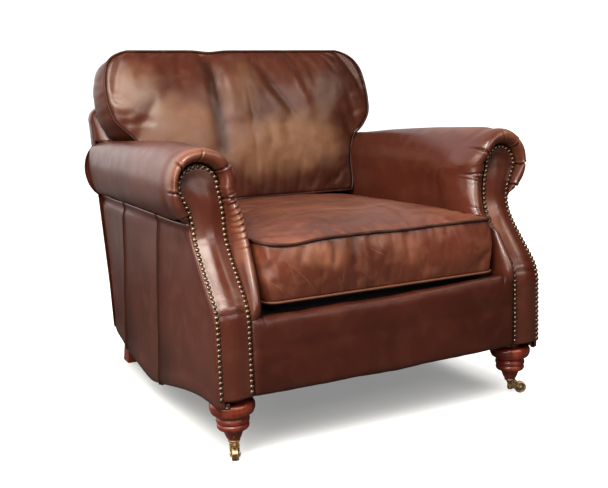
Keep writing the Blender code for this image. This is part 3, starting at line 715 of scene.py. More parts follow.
# %% The hidden stuffs, put on the frame's own pieces
sawn_wood = simple_finish(
    "sawn_hardwood", (0.30, 0.19, 0.10), (0.46, 0.32, 0.19), 40.0, (0.6, 0.8), squeeze=(1, 1, 0.15)
)
wire = simple_finish(
    "spring_wire", (0.22, 0.22, 0.23), (0.40, 0.40, 0.41), 120.0, (0.3, 0.5), metallic=1.0
)
jute = simple_finish("jute", (0.32, 0.22, 0.12), (0.52, 0.40, 0.24), 500.0, (0.85, 0.95), relief=0.0008)
cambric = simple_finish(
    "black_cambric", (0.010, 0.010, 0.011), (0.030, 0.029, 0.030), 700.0, (0.85, 0.95), relief=0.0006
)
CARRIED = {"frame_wood": sawn_wood, "steel": wire, "webbing": jute, "cloth": cambric}
slots = {part["node"]: part["material_slot"] for part in frame["record"]["subparts"]}
for node_name, node_object in frame["nodes"].items():
    finish = CARRIED.get(slots.get(node_name))
    if finish:
        node_object.data.materials.clear()
        node_object.data.materials.append(finish)
print("nodes that keep their shape:", sum(slots[n] in CARRIED for n in frame["nodes"]))

# %% [markdown]
# ## A sheet of leather
# Almost everything on this chair is one hide pulled over padding and held along its edges. In Blender
# that is a grid whose corners are carried to their places by a function of two measures, then pushed
# in or out along the normals to make tucks and pillows. One helper does this, so that every cover
# below is only two small functions: where it lies, and how it swells. The grid keeps its rows closer
# together where a seam or a tuck needs them.

# %% A finished piece
# The leather's thickness, and the depth of a fold that shows in full.
HIDE = 0.002
FULL_FOLD = 0.0025


def add_piece(
    name, bm, material, body="chair", replaces=(), flat=False, thick=0.0, soften=0
):
    """Turns a bmesh into a finished piece of the chair that rides on one body of the frame."""
    bmesh.ops.remove_doubles(bm, verts=bm.verts, dist=1e-6)
    mesh = bpy.data.meshes.new(name)
    bm.to_mesh(mesh)
    bm.free()
    mesh.materials.append(material)
    mesh.polygons.foreach_set("use_smooth", [not flat] * len(mesh.polygons))
    piece = bpy.data.objects.new(name, mesh)
    bpy.context.scene.collection.objects.link(piece)
    if thick:
        solid = piece.modifiers.new("leather thickness", "SOLIDIFY")
        solid.thickness = thick
        solid.offset = -1.0
    if soften:
        subsurf = piece.modifiers.new("soften", "SUBSURF")
        subsurf.levels = subsurf.render_levels = soften
    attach(piece, body)
    if replaces:
        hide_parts(*replaces)
    print(f"{name}: {len(mesh.vertices)} corners, {len(mesh.polygons)} faces")


# %% A sheet of hide
def sheet(us, vs, place, swell=None, flip=False):
    """A bmesh grid carried to place(u, v) and then raised along its normals by swell(u, v).

    swell gives the height in metres, and how much of it is a tuck or a ridge in the leather; that second value may
    also be lowered where shade is painted.
    """
    bm = bmesh.new()
    fold_and_shade = bm.verts.layers.float.new("fold_and_shade")
    bmesh.ops.create_grid(bm, x_segments=len(us) - 1, y_segments=len(vs) - 1, size=1.0)
    stations = {}
    for vert in bm.verts:
        u = us[round((vert.co.x + 1) / 2 * (len(us) - 1))]
        v = vs[round((vert.co.y + 1) / 2 * (len(vs) - 1))]
        stations[vert] = (u, v)
    for vert, (u, v) in stations.items():
        vert.co = place(u, v)
    if flip:
        bmesh.ops.reverse_faces(bm, faces=bm.faces)
    bm.normal_update()
    if swell:
        raised = {}
        for vert, (u, v) in stations.items():
            height, crease = swell(u, v)
            vert[fold_and_shade] = max(-1.0, min(1.0, crease / FULL_FOLD))
            raised[vert] = vert.co + vert.normal * height
        for vert, where_to in raised.items():
            vert.co = where_to
    return bm


def tuck(distance, width, depth, lip=0.5):
    """A pulled crease: a valley with a raised lip on one side of it."""
    return -depth * bump(distance, 0, width) + lip * depth * bump(distance, 2.1 * width, 1.5 * width)


def wavy(x, y, z, size):
    """Smooth random height between -1 and 1, with hills of about this size."""
    return noise.noise(Vector((x, y, z)) / size)


# %% [markdown]
# ## Arms
# A club arm is a wooden rail under a thick roll of stuffing. One hide starts under the roll on the
# outside, goes over it and down the inner face, and tucks in beside the seat. At the front it is
# gathered over the edge of the stuffing and pulled in to the nailed facing. A flat hide can't turn
# that corner without spare leather, so it shows radial tucks round the scroll and small gathers on the
# inner edge. Here the hide is measured by u along its profile and by v from the rear to the nails.

# %% Profile of the arm and where the facing's edge runs
# The facing ends in an arch inside the scroll. Angles round the roll start below its outer side.
ARCH_X, ARCH_Z, ARCH_R = 0.397, 0.570, 0.0465
ROLL_START, ROLL_SWEEP = -70, 250
RING = math.radians(ROLL_SWEEP) * ROLL_R
facing_depth = soft_curve(
    [(0.13, 0), (0.280, 0), (0.303, 0.0010), (0.325, 0.0070), (0.345, 0.0195), (0.40, 0.0655),
     (0.43, 0.0895), (0.455, 0.1045), (0.48, 0.1118), (0.51, 0.1145), (0.70, 0.1145)]
)
facing_outer = soft_curve(
    [(0.14, 0.418), (0.455, 0.418), (0.475, 0.4182), (0.495, 0.4195), (0.522, 0.4265), (0.548, 0.4372),
     (0.5635, 0.443), (0.570, 0.4435)]
)
facing_inner = soft_curve(
    [(0.14, 0.3415), (0.505, 0.3415), (0.535, 0.3445), (0.5635, 0.3503), (0.570, 0.3505)]
)
ring_nose = soft_curve(
    [(-70, 0.1190), (-58, 0.1110), (-40, 0.0990), (0, 0.090), (90, 0.088), (180, 0.092)]
)
edge_nose = soft_curve(
    [(0.290, 0.016), (0.303, 0.004), (0.316, -0.004), (0.33, -0.006), (0.36, 0.004), (0.415, 0.030),
     (0.465, 0.050), (0.515, 0.073), (0.545, 0.0885), (0.570, 0.092)]
)
print("length of the roll's profile:", round(RING, 4))

# %% Where the leather is gathered
TUCK_TURNS = {"left": (-20, 37, 90, 137, 187, 231), "right": (-14, 30, 84, 130, 180, 226)}
GATHERS = (
    (0.5600, 0.0016), (0.5500, 0.0024), (0.5385, 0.0030), (0.5270, 0.0022), (0.5165, 0.0032),
    (0.5040, 0.0026), (0.4930, 0.0030), (0.4800, 0.0020), (0.4650, 0.0014), (0.4470, 0.0008),
)
FEW_GATHERS = ((0.5465, 0.0024), (0.538, 0.0010), (0.470, 0.0006))


def ring_turn(u):
    """Angle of the roll's surface, 0 outwards and 90 on top, in degrees."""
    return ROLL_START + ROLL_SWEEP * u / RING


def tuck_place(turn_in):
    """Where a tuck lies along the profile, from its angle counted upwards from the inner side."""
    angle = 180 - turn_in
    return RING * (angle - ROLL_START) / ROLL_SWEEP


def inner_height(u):
    """Height on the arm's inner face, below the roll."""
    return ARCH_Z - (u - RING)


# %% The padded arm, and the line where its hide meets the facing
ROLL_LIFT = {
    "left": soft_curve(
        [(0.12, 0.0), (0.20, 0.004), (0.26, 0.010), (0.40, 0.012), (0.60, 0.011), (0.90, 0.009)]
    ),
    "right": soft_curve(
        [(0.12, 0.008), (0.20, 0.011), (0.45, 0.011), (0.60, 0.0085), (0.75, 0.003), (0.90, 0.001)]
    ),
}


def arm_surface(side, u, depth, under=0.0):
    """(x, z) of the padded arm at a distance along its profile and a depth."""
    share = smooth(0.1, 0.95, depth)
    half_x, half_z = 0.082 - 0.027 * share, 0.082 - 0.005 * share
    middle_z = ARCH_Z + 0.0025 * share
    if u <= RING:
        a = math.radians(ring_turn(u) - under)
        outwards, up = max(0.0, math.cos(a)), max(0.0, math.sin(a))
        half_x -= (0.0095 - 0.001 * share) * outwards**2
        half_z += ROLL_LIFT[side](depth) * up**1.5
        return ROLL_X + half_x * math.cos(a), middle_z + half_z * math.sin(a)
    z = middle_z - (u - RING)
    inner = ROLL_X - half_x
    low = ARM_IN + 0.0251 * (depth + 0.006)
    belly = 0.0035 * math.sin(math.pi * min(1, max(0, (z - 0.33) / 0.24))) * (1 - 0.6 * share)
    return inner + (low - inner) * smooth(0.575, 0.50, z) - belly, z


def arm_edge(u):
    """(x, z) where the hide meets the facing."""
    if u <= RING:
        turn_here = ring_turn(u)
        if turn_here < 0:
            z = ARCH_Z + 0.080 * turn_here / -ROLL_START
            return facing_outer(z) + 0.0005, z
        a = math.radians(turn_here)
        groove = ARCH_R + 0.0042 * math.sin(a) ** 0.7
        return ARCH_X + groove * math.cos(a), ARCH_Z + groove * math.sin(a)
    z = inner_height(u)
    return facing_inner(z) + 0.001, z


# %% The arm's hide: a long straight, then a curl over the front into the nails
# How far the right arm's inner side bulges where it curls to the front.
CHEEK = 0.012


def arm_hide(side, sign):
    """The hide's place(u, v) and swell(u, v), with v below 0 on the straight and 0 to 1 over the curl."""
    tucks = [tuck_place(t) for t in TUCK_TURNS[side]]

    def curl(u):
        """Depth where the curl starts, its foremost depth, and the x, z and depth of its nailed edge."""
        nose = ring_nose(ring_turn(u)) if u <= RING else edge_nose(inner_height(u))
        gentle = smooth(RING * 0.74, RING + 0.04, u)
        start = nose + 0.045 + (0.120 if side == "right" else 0.050) * gentle
        edge_x, edge_z = arm_edge(u)
        end = facing_depth(edge_z) + 0.006 + 0.010 * smooth(ARCH_Z, 0.600, edge_z)
        return start, nose, edge_x, edge_z, end

    def place(u, v):
        start, nose, edge_x, edge_z, end = curl(u)
        full = smooth(RING * 0.86, RING + 0.01, u) * smooth(RING + 0.16, RING + 0.11, u) * (side == "right")
        if v < 0:
            rear_z = arm_surface(side, u, 0.93)[1]
            rear = outer_back(rear_z) - REAR_GAP
            depth = start + (rear - start) * -v
            under = 24 * smooth(0.07, 0.0, u) * smooth(0.0, -0.12, v)
            x, z = arm_surface(side, u, depth, under)
            x -= CHEEK * full * max(0.0, 1 + v / 0.13) ** 2
            return Vector((sign * x, deep(depth), z))
        middle = (nose - (start + end) / 8) / 0.75
        near_x, near_z = arm_surface(side, u, start)
        near_x -= CHEEK * full
        plump = smooth(RING + 0.02, RING + 0.09, u)
        slant = 0.0 if u <= RING else 0.4 * smooth(RING, RING + 0.05, u)
        points = (
            (near_x, near_z, start),
            (
                near_x - 0.010 * plump - CHEEK * full,
                near_z,
                middle - 0.006 * plump + 0.42 * (start - middle) * full,
            ),
            (
                edge_x + 0.25 * slant * (near_x - edge_x) - 0.032 * full,
                edge_z + 0.25 * slant * (near_z - edge_z),
                middle + slant * (end - middle) + 0.006 * full,
            ),
            (edge_x, edge_z, end),
        )
        shares = ((1 - v) ** 3, 3 * (1 - v) ** 2 * v, 3 * (1 - v) * v * v, v**3)
        x, z, depth = (sum(s * p[i] for s, p in zip(shares, points)) for i in range(3))
        return Vector((sign * x, deep(depth), z))

    def swell(u, v):
        along = -v * 0.8 if v < 0 else 0
        front = smooth(-0.045, 0.35, v) * (1 - 0.35 * smooth(0.7, 1.0, v))
        crease = 0.0
        for number, middle in enumerate(tucks):
            strength = (1.0, 1.0, 0.55, 1.0, 1.0, 1.15)[number]
            wander = 0.004 * wavy(number * 3.1 + sign, v * 2, 0, 1.0)
            if side == "right" and number == 0:
                strength *= smooth(0.30, 0.70, v)
            crease += strength * front * tuck(u - middle - wander, 0.0026, 0.0034, 0.45)
        if u > RING:
            z = inner_height(u)
            if side == "left":
                reach = smooth(-0.04, 0.10, v) * smooth(0.95, 0.45, v)
                for middle, deepest in GATHERS:
                    drift = 0.022 * (v - 0.2) + 0.003 * wavy(v * 2, middle * 40, 2, 1.0)
                    crease += reach * tuck(z - middle + drift, 0.0021, deepest, 0.7)
            else:
                reach = smooth(0.30, 0.60, v) * smooth(1.05, 0.85, v)
                for middle, deepest in FEW_GATHERS:
                    drift = 0.020 * (v - 0.5)
                    crease += reach * tuck(z - middle + drift, 0.0034, deepest, 0.35)
        broad = 0.0020 * wavy(u * 1.4, along, sign, 0.19) + 0.0004 * wavy(u, 0.5 * along, sign + 3, 0.07)
        behind = v * (0.75 if v < 0 else 0.075)
        valley = -0.0034 * bump(behind, -0.006, 0.015) * smooth(RING * 0.84, RING * 0.68, u)
        band = 0.0036 * bump(behind, 0.026, 0.016) * (0.8 + 0.4 * wavy(u, 0, 7 + sign, 0.04))
        hold = smooth(1.0, 0.85, v)
        return (broad * (0.4 + 0.6 * hold) + valley + band * hold) * hold + crease, crease

    return place, swell, tucks


def arm_stations(tucks):
    """Stations along the profile, closest at the tucks and on the inner face, and along the arm."""
    us = set(spaced(0, RING + 0.276, 0.0042, tucks))
    us |= {round(RING + i * 0.0016, 5) for i in range(0, 107)}
    ordered = sorted(us)
    kept = [ordered[0]]
    for station in ordered[1:]:
        if station - kept[-1] > 0.0007:
            kept.append(station)
    straight = [-1 + i / 50 for i in range(47)] + [-0.065, -0.052, -0.04, -0.03, -0.021, -0.013, -0.006]
    return kept, straight + [i / 30 for i in range(31)]


# %% Left and right arm hides
for side, sign in SIDES:
    place, swell, tucks = arm_hide(side, sign)
    us, vs = arm_stations(tucks)
    bm = sheet(us, vs, place, swell, flip=sign < 0)
    add_piece(
        f"arm_hide_{side}",
        bm,
        frame_leather,
        replaces=(f"arm_roll_{side}", f"inside_arm_{side}"),
        thick=HIDE,
    )

# %% [markdown]
# ## Facings and nails
# The facing is the tongue-shaped panel that hides the raw edges on the front of each arm. It is folded
# back along its edges, lightly padded, and held by a close row of domed brass nails. Each nail pulls
# the leather down a little, so the panel swells between its two rows. It stands upright beside the
# border, leans back above the knee, and ends in an arch inside the scroll.

# %% Facings
FACING_FOOT = 0.140
NAIL_INSET = 0.0046


def facing_half(z):
    """Middle and half width of the facing at a height."""
    if z <= ARCH_Z:
        return (facing_outer(z) + facing_inner(z)) / 2, (facing_outer(z) - facing_inner(z)) / 2
    rise = min(1.0, (z - ARCH_Z) / ARCH_R)
    return ARCH_X, ARCH_R * math.sqrt(max(0.0, 1 - rise * rise))


def facing_sheet(sign):
    """The tongue of leather: w runs across it from edge to edge, and z up it."""
    heights = spaced(FACING_FOOT, ARCH_Z, 0.0045)
    heights += [ARCH_Z + ARCH_R * math.sin(math.pi / 2 * i / 18) for i in range(1, 19)]
    acrosses = [-1.16, -1.06] + [-1 + i / 14 for i in range(29)] + [1.06, 1.16]

    def edge_gap(w, z):
        """Distance to the nearest edge of the tongue."""
        half = facing_half(z)[1]
        if z > ARCH_Z:
            return ARCH_R - math.hypot(w * half, z - ARCH_Z)
        return half * (1 - min(1, abs(w)))

    def place(w, z):
        middle, half = facing_half(z)
        over = max(0.0, abs(w) - 1)
        x = middle + max(-1, min(1, w)) * half
        return Vector((sign * x, deep(facing_depth(z) + over * 0.075), z))

    def swell(w, z):
        gap = edge_gap(w, z)
        rounded = -0.0016 * smooth(0.0035, 0.0, gap)
        dent = -0.0011 * bump(gap, NAIL_INSET, 0.003)
        pillow = 0.0080 * smooth(0.002, 0.036, gap) * (0.75 + 0.35 * smooth(0.2, 0.45, z))
        pillow *= 1 - 0.9 * smooth(0.54, 0.60, z)
        uneven = 0.0012 * wavy(w * 0.04, z, sign * 3, 0.045) * smooth(0.006, 0.02, gap)
        creases = 0.0
        for height, strength in ((0.318, 0.0016), (0.338, 0.0010), (0.452, -0.0006)):
            wandering = z - 0.003 * wavy(w, 0, height * 9, 0.5)
            creases -= strength * bump(wandering, height, 0.0045) * smooth(0.004, 0.015, gap)
        # Painted shade: the arch is made darker, and so is the foot of the right facing.
        painted_shade = 0.0014 * smooth(0.53, 0.57, z) + 0.0008 * smooth(0.32, 0.26, z) * (sign > 0)
        return rounded + dent + pillow + uneven + creases, creases - painted_shade

    return sheet(acrosses, heights, place, swell, flip=sign < 0)


for side, sign in SIDES:
    add_piece(
        f"arm_facing_leather_{side}",
        facing_sheet(sign),
        frame_leather,
        replaces=(f"arm_facing_{side}",),
        thick=HIDE,
    )

# %% Where the nails go
NAIL_FOOT, NAIL_PITCH, NAIL_RADIUS = 0.146, 0.0113, 0.0052


def facing_edges(sign):
    """Nail positions up one side, over the arch and down the other, with the facing's normal at each."""
    inset = NAIL_INSET
    outer = [(facing_outer(z) - inset, z) for z in spaced(NAIL_FOOT, ARCH_Z, 0.002)]
    arch_points = [
        (ARCH_X + (ARCH_R - inset) * math.cos(a), ARCH_Z + (ARCH_R - inset) * math.sin(a))
        for a in (math.pi * i / 60 for i in range(1, 60))
    ]
    inner = [(facing_inner(z) + inset, z) for z in reversed(spaced(NAIL_FOOT, ARCH_Z, 0.002))]
    route = [Vector((x, facing_depth(z), z)) for x, z in outer + arch_points + inner]
    nails, travelled, due = [], 0.0, 0.0
    for near, far in zip(route, route[1:]):
        step = (far - near).length
        while due <= travelled + step:
            point = near.lerp(far, (due - travelled) / step)
            slope = (facing_depth(point.z + 0.002) - facing_depth(point.z - 0.002)) / 0.004
            normal = Vector((0, -1, slope)).normalized()
            nails.append((Vector((sign * point.x, deep(point.y), point.z)), normal))
            due += NAIL_PITCH
        travelled += step
    return nails


# %% Nails: one low dome, set again and again along each facing
for side, sign in SIDES:
    bm = bmesh.new()
    for number, (spot, normal) in enumerate(facing_edges(sign)):
        made = bmesh.ops.create_uvsphere(bm, u_segments=10, v_segments=6, radius=NAIL_RADIUS)["verts"]
        bmesh.ops.scale(bm, verts=made, vec=(1, 1, 0.60))
        jitter = Vector((wavy(number, 0, 1, 1.7), wavy(number, 4, 2, 1.7), wavy(number, 8, 3, 1.7)))
        tilt = (normal + 0.10 * jitter).normalized().to_track_quat("Z", "Y").to_matrix().to_4x4()
        where_set = spot + jitter * 0.0004 + normal * -0.0004
        bmesh.ops.transform(bm, verts=made, matrix=Matrix.Translation(where_set) @ tilt)
    add_piece(f"nails_{side}", bm, nail_brass)
    print("nails:", number + 1)

# %% [markdown]
# ## Outside arms and front border
# The outside of each arm is sewn from three pieces of hide, because one hide isn't long enough. It is
# nailed along the front with the facing, tucked up under the roll, and its lower edge sags in a
# shallow curve between the legs. The border in front is a padded strip whose top turns back as a lip
# under the seat cushion.

# %% Measures of the outside arms
hem = soft_curve(
    [(0, 0.126), (0.098, 0.1245), (0.18, 0.115), (0.28, 0.096), (0.39, 0.072), (0.467, 0.0585),
     (0.52, 0.060), (0.65, 0.077), (0.78, 0.096), (0.85, 0.103), (0.875, 0.110), (0.89, 0.118)]
)
ARM_TUCK_TOP = 0.494
PANEL_SEAMS = (0.415, 0.70)
FRONT_TURN = 0.0125
# The hide turns round the front corner in its first TURN_LENGTH, and ends at SIDE_END.
TURN_LENGTH, SIDE_END = 0.022, 0.96
SEAM_COLUMNS = [seam + 0.0095 for seam in PANEL_SEAMS]
print("seams this deep, as the hide lies flat:", SEAM_COLUMNS)


# %% Outside arms
def outside_arm_sheet(sign):
    """u runs from the nails back along the arm, v from the curled hem up to the tuck under the roll."""
    us = [TURN_LENGTH * i / 12 for i in range(12)]
    us += spaced(TURN_LENGTH, SIDE_END, 0.010, [TURN_LENGTH - 0.01 + seam for seam in PANEL_SEAMS])
    vs = [-0.035, -0.025, -0.016, -0.008] + [i / 46 for i in range(42)]
    vs += [0.925, 0.94, 0.955, 0.968, 0.98, 0.99, 1.0]

    def at(u, z):
        """x and depth at a distance round the front corner and back along the side."""
        front = facing_depth(z) + 0.003
        rear = outer_back(z) - REAR_GAP
        if u < TURN_LENGTH:
            a = math.pi / 2 * u / TURN_LENGTH
            x = SKIN - 0.0005 - FRONT_TURN + FRONT_TURN * math.sin(a) + 0.0015
            sunk = 0.008 * smooth(0.468, 0.484, z) * (1 - math.sin(a))
            return x, front + sunk + FRONT_TURN * (1 - math.cos(a))
        seams = [0.430 - 0.18 * z, 0.740 - 0.18 * z]
        stops = [
            (TURN_LENGTH, front + FRONT_TURN),
            (SEAM_COLUMNS[0], seams[0]),
            (SEAM_COLUMNS[1], seams[1]),
            (SIDE_END, rear),
        ]
        for (near_u, near), (far_u, far) in zip(stops, stops[1:]):
            if u <= far_u or far_u == SIDE_END:
                return SKIN + 0.001, near + (far - near) * (u - near_u) / (far_u - near_u)

    def place(u, v):
        share = max(0.0, v)
        guess = max(FRONT_TURN, at(u, 0.15)[1])
        low = hem(guess)
        slim = smooth(0.1, 0.95, guess)
        top = ARM_TUCK_TOP + 0.008 * slim
        z = low + (top - low) * share
        x, depth = at(u, z)
        x -= 0.010 * slim * smooth(0.90, 1.0, share) + 0.010 * smooth(PANEL_SEAMS[1], 0.95, depth)
        if v < 0:
            x -= min(0.011, -v * 0.55)
            z += 0.45 * max(0.0, -v - 0.016)
            z -= 0.0015 * math.sin(math.pi * min(1, -v / 0.02))
        return Vector((sign * x, deep(depth), z))

    def swell(u, v):
        depth = u - TURN_LENGTH + FRONT_TURN
        z = 0.08 + 0.41 * max(0, v)
        height, crease, painted_shade = 0.0, 0.0, 0.0
        for seam in PANEL_SEAMS:
            gap = depth - seam - 0.004 * wavy(z, seam, 0, 0.2)
            crease -= 0.0042 * bump(gap, 0, 0.0030)
            crease += 0.0006 * bump(gap, 0.0080, 0.006) + 0.0004 * bump(gap, -0.0085, 0.006)
            pulled = 0.5 + 0.5 * wavy(z, seam, 3, 0.012)
            crease -= 0.0004 * pulled * bump(gap, 0, 0.014) * (1 - bump(gap, 0, 0.004))
            # Painted shade in front of each seam, so that each panel has its own tone.
            painted_shade += 0.0012 * smooth(0.002, -0.002, gap) * smooth(-0.12, -0.02, gap)
        for start, end in ((0.01, PANEL_SEAMS[0]), PANEL_SEAMS, (PANEL_SEAMS[1], 0.93)):
            if start <= depth <= end:
                share = (depth - start) / (end - start)
                pillow = 0.0042 * (math.sin(math.pi * share) ** 0.6)
                height += pillow * smooth(0, 0.12, v) * smooth(1.0, 0.85, v)
        height += 0.0016 * wavy(depth, z, sign, 0.10) * smooth(0, 0.06, v) * smooth(1, 0.93, v)
        height -= 0.008 * smooth(0.955, 1.0, v)
        # Painted shade, darker towards the bottom.
        painted_shade += 0.0010 * smooth(0.45, 0.0, v)
        pinch = bump(depth, 0.03, 0.045) * smooth(0.75, 0.97, v)
        crease += 0.0016 * pinch * math.sin(math.tau * (depth / 0.014 + wavy(depth, z, 9, 0.04)))
        height -= 0.0015 * bump(v, 0.045, 0.03) * smooth(0.05, 0.12, depth)
        return height + crease, crease - painted_shade

    return sheet(us, vs, place, swell, flip=sign > 0)


for side, sign in SIDES:
    add_piece(
        f"outside_arm_leather_{side}",
        outside_arm_sheet(sign),
        frame_leather,
        replaces=(f"outside_arm_{side}",),
        thick=HIDE,
    )

# %% Front border
border_path = soft_path(
    [(0.020, 0.139), (0.006, 0.1375), (-0.001, 0.142), (-0.0035, 0.16), (-0.004, 0.22), (-0.0035, 0.272),
     (-0.001, 0.2905), (0.006, 0.2995), (0.015, 0.3010), (0.036, 0.2975), (0.058, 0.290)]
)
shares = [i / 60 for i in range(61)]
xs = spaced(-0.342, 0.342, 0.008, (-0.318, 0.318))


def border_place(x, share):
    """A point of the border: how far across, and its share of the route from the foot to the lip."""
    depth, z = border_path(share)
    lifted = smooth(0.300, 0.345, abs(x)) * smooth(0.27, 0.31, z)
    rounded = 0.006 * smooth(0.330, 0.342, abs(x))
    sloping = 0.013 * smooth(-0.05, 0.33, x) * smooth(0.26, 0.31, z)
    return Vector((x, deep(depth + rounded), z + 0.0050 * lifted + sloping))


def border_swell(x, share):
    """Its soft waves, the mitre in each upper corner, and a sag across the middle."""
    z = border_path(share)[1]
    height = 0.0022 * wavy(x, z, 0, 0.09) + 0.0010 * wavy(x, z, 4, 0.03)
    height += 0.002 * math.cos(x * math.pi / 0.72)
    mitre = -0.0020 * bump(abs(x) - 0.318 - 0.4 * (z - 0.311), 0, 0.003) * smooth(0.27, 0.30, z)
    sag = 0.0012 * bump(z, 0.235 + 0.012 * wavy(x, 1, 1, 0.12), 0.012)
    return height + mitre - sag, mitre


add_piece(
    "front_border_leather",
    sheet(xs, shares, border_place, border_swell),
    painted_shade_border_leather,
    replaces=("front_border",),
    thick=HIDE,
)

# %% [markdown]
# ## Back
# The raised back has three leathers. The inside back is a padded T that goes down between the arms. A
# narrow band, sewn with a seam along each edge, closes the side and the top above the arms. The
# outside back is a flat panel that also covers the rear ends of the two rolls. All of them follow the
# rake of the back, so their depth is given as a distance ahead of the outside back.

# %% Measures of the back
BACK_TOP, BACK_FOOT, BACK_CORNER = 0.756, 0.332, 0.036
BAND_NEAR, BAND_FAR = 0.0455, 0.0123
stem_or_shoulder = soft_curve(
    [(BACK_FOOT, 0.3295), (0.636, 0.3295), (0.645, 0.345), (0.6555, 0.408), (0.662, 0.4165), (0.80, 0.4165)]
)


def back_half(z):
    """Half width of the inside back at a height, with its rounded top corners."""
    over = max(0.0, z - (BACK_TOP - BACK_CORNER))
    round_in = math.sqrt(max(0.0, BACK_CORNER**2 - min(over, BACK_CORNER) ** 2))
    return stem_or_shoulder(z) - BACK_CORNER + round_in


# %% Inside back
def inside_back_place(s, z):
    """A point at a share s of the half width and a height z."""
    top_share = max(0.0, (z - BACK_FOOT) / (BACK_TOP - BACK_FOOT))
    edge = max(0.0, 1 - abs(s) ** 10) ** 0.5 * max(0.0, 1 - top_share**14) ** 0.5
    full = 0.085 + 0.010 * bump(z, 0.655, 0.05) * smooth(0.70, 0.95, abs(s)) - 0.012 * smooth(0.69, 0.75, z)
    ahead = BAND_NEAR + (full - BAND_NEAR) * edge
    return Vector((s * back_half(z), deep(outer_back(z) - ahead), z))


def inside_back_swell(s, z):
    """Soft waves, and small pulls beside the band's seam."""
    height = 0.0018 * wavy(s * 0.4, z, 0, 0.07) * smooth(1.0, 0.9, abs(s))
    pull = -0.0016 * bump(abs(s), 0.90, 0.03) * (0.5 + 0.5 * wavy(z, 0, 5, 0.02)) * smooth(0.65, 0.67, z)
    return height + pull, pull


half_columns = [i / 22 for i in range(20)] + [0.90, 0.93, 0.95, 0.965, 0.98, 0.99, 0.996, 1.0]
columns = sorted({-c for c in half_columns} | set(half_columns))
rows = spaced(BACK_FOOT, 0.63, 0.012) + spaced(0.634, 0.72, 0.004)
rows += [BACK_TOP - BACK_CORNER * (1 - math.sin(math.pi / 2 * i / 16)) for i in range(1, 17)]
add_piece(
    "inside_back_leather",
    sheet(columns, sorted(rows), inside_back_place, inside_back_swell),
    frame_leather,
    replaces=("inside_back",),
    thick=HIDE,
)

# %% [markdown]
# ## Band and cords of the back
# The band is a strip of hide that follows the outline of the back up one side, over the top and down
# the other. It could be a face extruded along a curve, but a grid lets it puff a little between its
# seams. Along each seam lies a thin cord. A cord is leather sewn round string, and it is made as a
# grid that is rolled into a tube, so that it can carry, through the same attribute as the hides, a
# painted highlight on its upper front side.

# %% Route of the band round the raised back
BAND_X = 0.4175
band_route = [(-BAND_X, z) for z in spaced(0.640, BACK_TOP - BACK_CORNER, 0.006)]
band_route += [
    (-BAND_X + BACK_CORNER - BACK_CORNER * math.cos(a), BACK_TOP - BACK_CORNER + BACK_CORNER * math.sin(a))
    for a in (math.pi / 2 * i / 12 for i in range(1, 13))
]
band_route += [(x, BACK_TOP) for x in spaced(-0.372, 0.0, 0.010)]
band_route += [(-x, z) for x, z in reversed(band_route[:-1])]
band_normals = []
for i in range(len(band_route)):
    before, after = band_route[max(0, i - 1)], band_route[min(len(band_route) - 1, i + 1)]
    along = Vector((after[0] - before[0], after[1] - before[1])).normalized()
    band_normals.append(Vector((-along.y, along.x)))
print("points round the band:", len(band_route))


# %% The band itself
def band_point(i, across_share):
    """A point on the band: its place along the route and its share from the near seam to the far one."""
    x, z = band_route[i]
    ahead = BAND_NEAR + 0.004 + (BAND_FAR - 0.002 - BAND_NEAR - 0.004) * across_share
    puff = 0.0045 * max(0.0, 1 - (2 * across_share - 1) ** 4) ** 0.6 - 0.002
    puff += 0.0010 * wavy(i * 0.01, across_share * 0.03, 3, 0.03)
    spot = Vector((x, 0, z)) + Vector((band_normals[i].x, 0, band_normals[i].y)) * puff
    return Vector((spot.x, deep(outer_back(spot.z) - ahead), spot.z))


add_piece(
    "back_band_leather",
    sheet(range(len(band_route)), [i / 14 for i in range(15)], band_point),
    frame_leather,
    replaces=("back_wing_left", "back_wing_right", "back_top_band"),
    thick=HIDE,
)


# %% A cord: a sheet rolled into a tube along a route, used for every welt
# The side of a cord that faces the lights, where a highlight is painted.
HIGHLIGHT_SIDE = Vector((0, -0.6, 0.8))


def tube(points, radius, sides=10, closed=True, uneven=0.0, crest_highlight=0.0):
    """A closed tube along points. Its last argument sets how strong the painted highlight on its upper front side
    is.
    """
    count = len(points)
    rings = []
    for i, point in enumerate(points):
        before = points[i - 1] if closed or i else points[i]
        after = points[(i + 1) % count] if closed or i < count - 1 else points[i]
        along = (after - before).normalized()
        side = along.cross(Vector((0.02, 0.03, 1))).normalized()
        if side.length < 0.5:
            side = Vector((1, 0, 0))
        wobble = 1 + uneven * wavy(point.x, point.y, point.z, 0.03)
        if not closed:
            wobble *= math.sqrt(max(0.02, min(1, i / 2, (count - 1 - i) / 2)))
        rings.append((side, side.cross(along), wobble))

    def outwards(i, k):
        side, up, _ = rings[i % count]
        a = math.tau * (k % sides) / sides
        return side * math.cos(a) + up * math.sin(a)

    def place(i, k):
        return points[i % count] + outwards(i, k) * radius * rings[i % count][2]

    def crest_highlight_at(i, k):
        return 0.0, FULL_FOLD * crest_highlight * max(0.0, outwards(i, k).normalized().dot(HIGHLIGHT_SIDE))

    bm = sheet(range(count + closed), range(sides + 1), place, crest_highlight_at)
    bmesh.ops.remove_doubles(bm, verts=bm.verts, dist=1e-6)
    bmesh.ops.holes_fill(bm, edges=bm.edges, sides=0)
    bmesh.ops.recalc_face_normals(bm, faces=bm.faces)
    return bm


for name, share in (("near", 0.0), ("far", 1.0)):
    route = [band_point(i, share) for i in range(len(band_route))]
    add_piece(f"back_band_cord_{name}", tube(route, 0.0024, 8, closed=False), piping_leather)

# %% [markdown]
# ## Outside back
# The outside back is one flat panel with two upright seams, stretched over the frame and turned in at
# its edges. Its outline bulges at arm height, where it covers the rear ends of the two rolls.

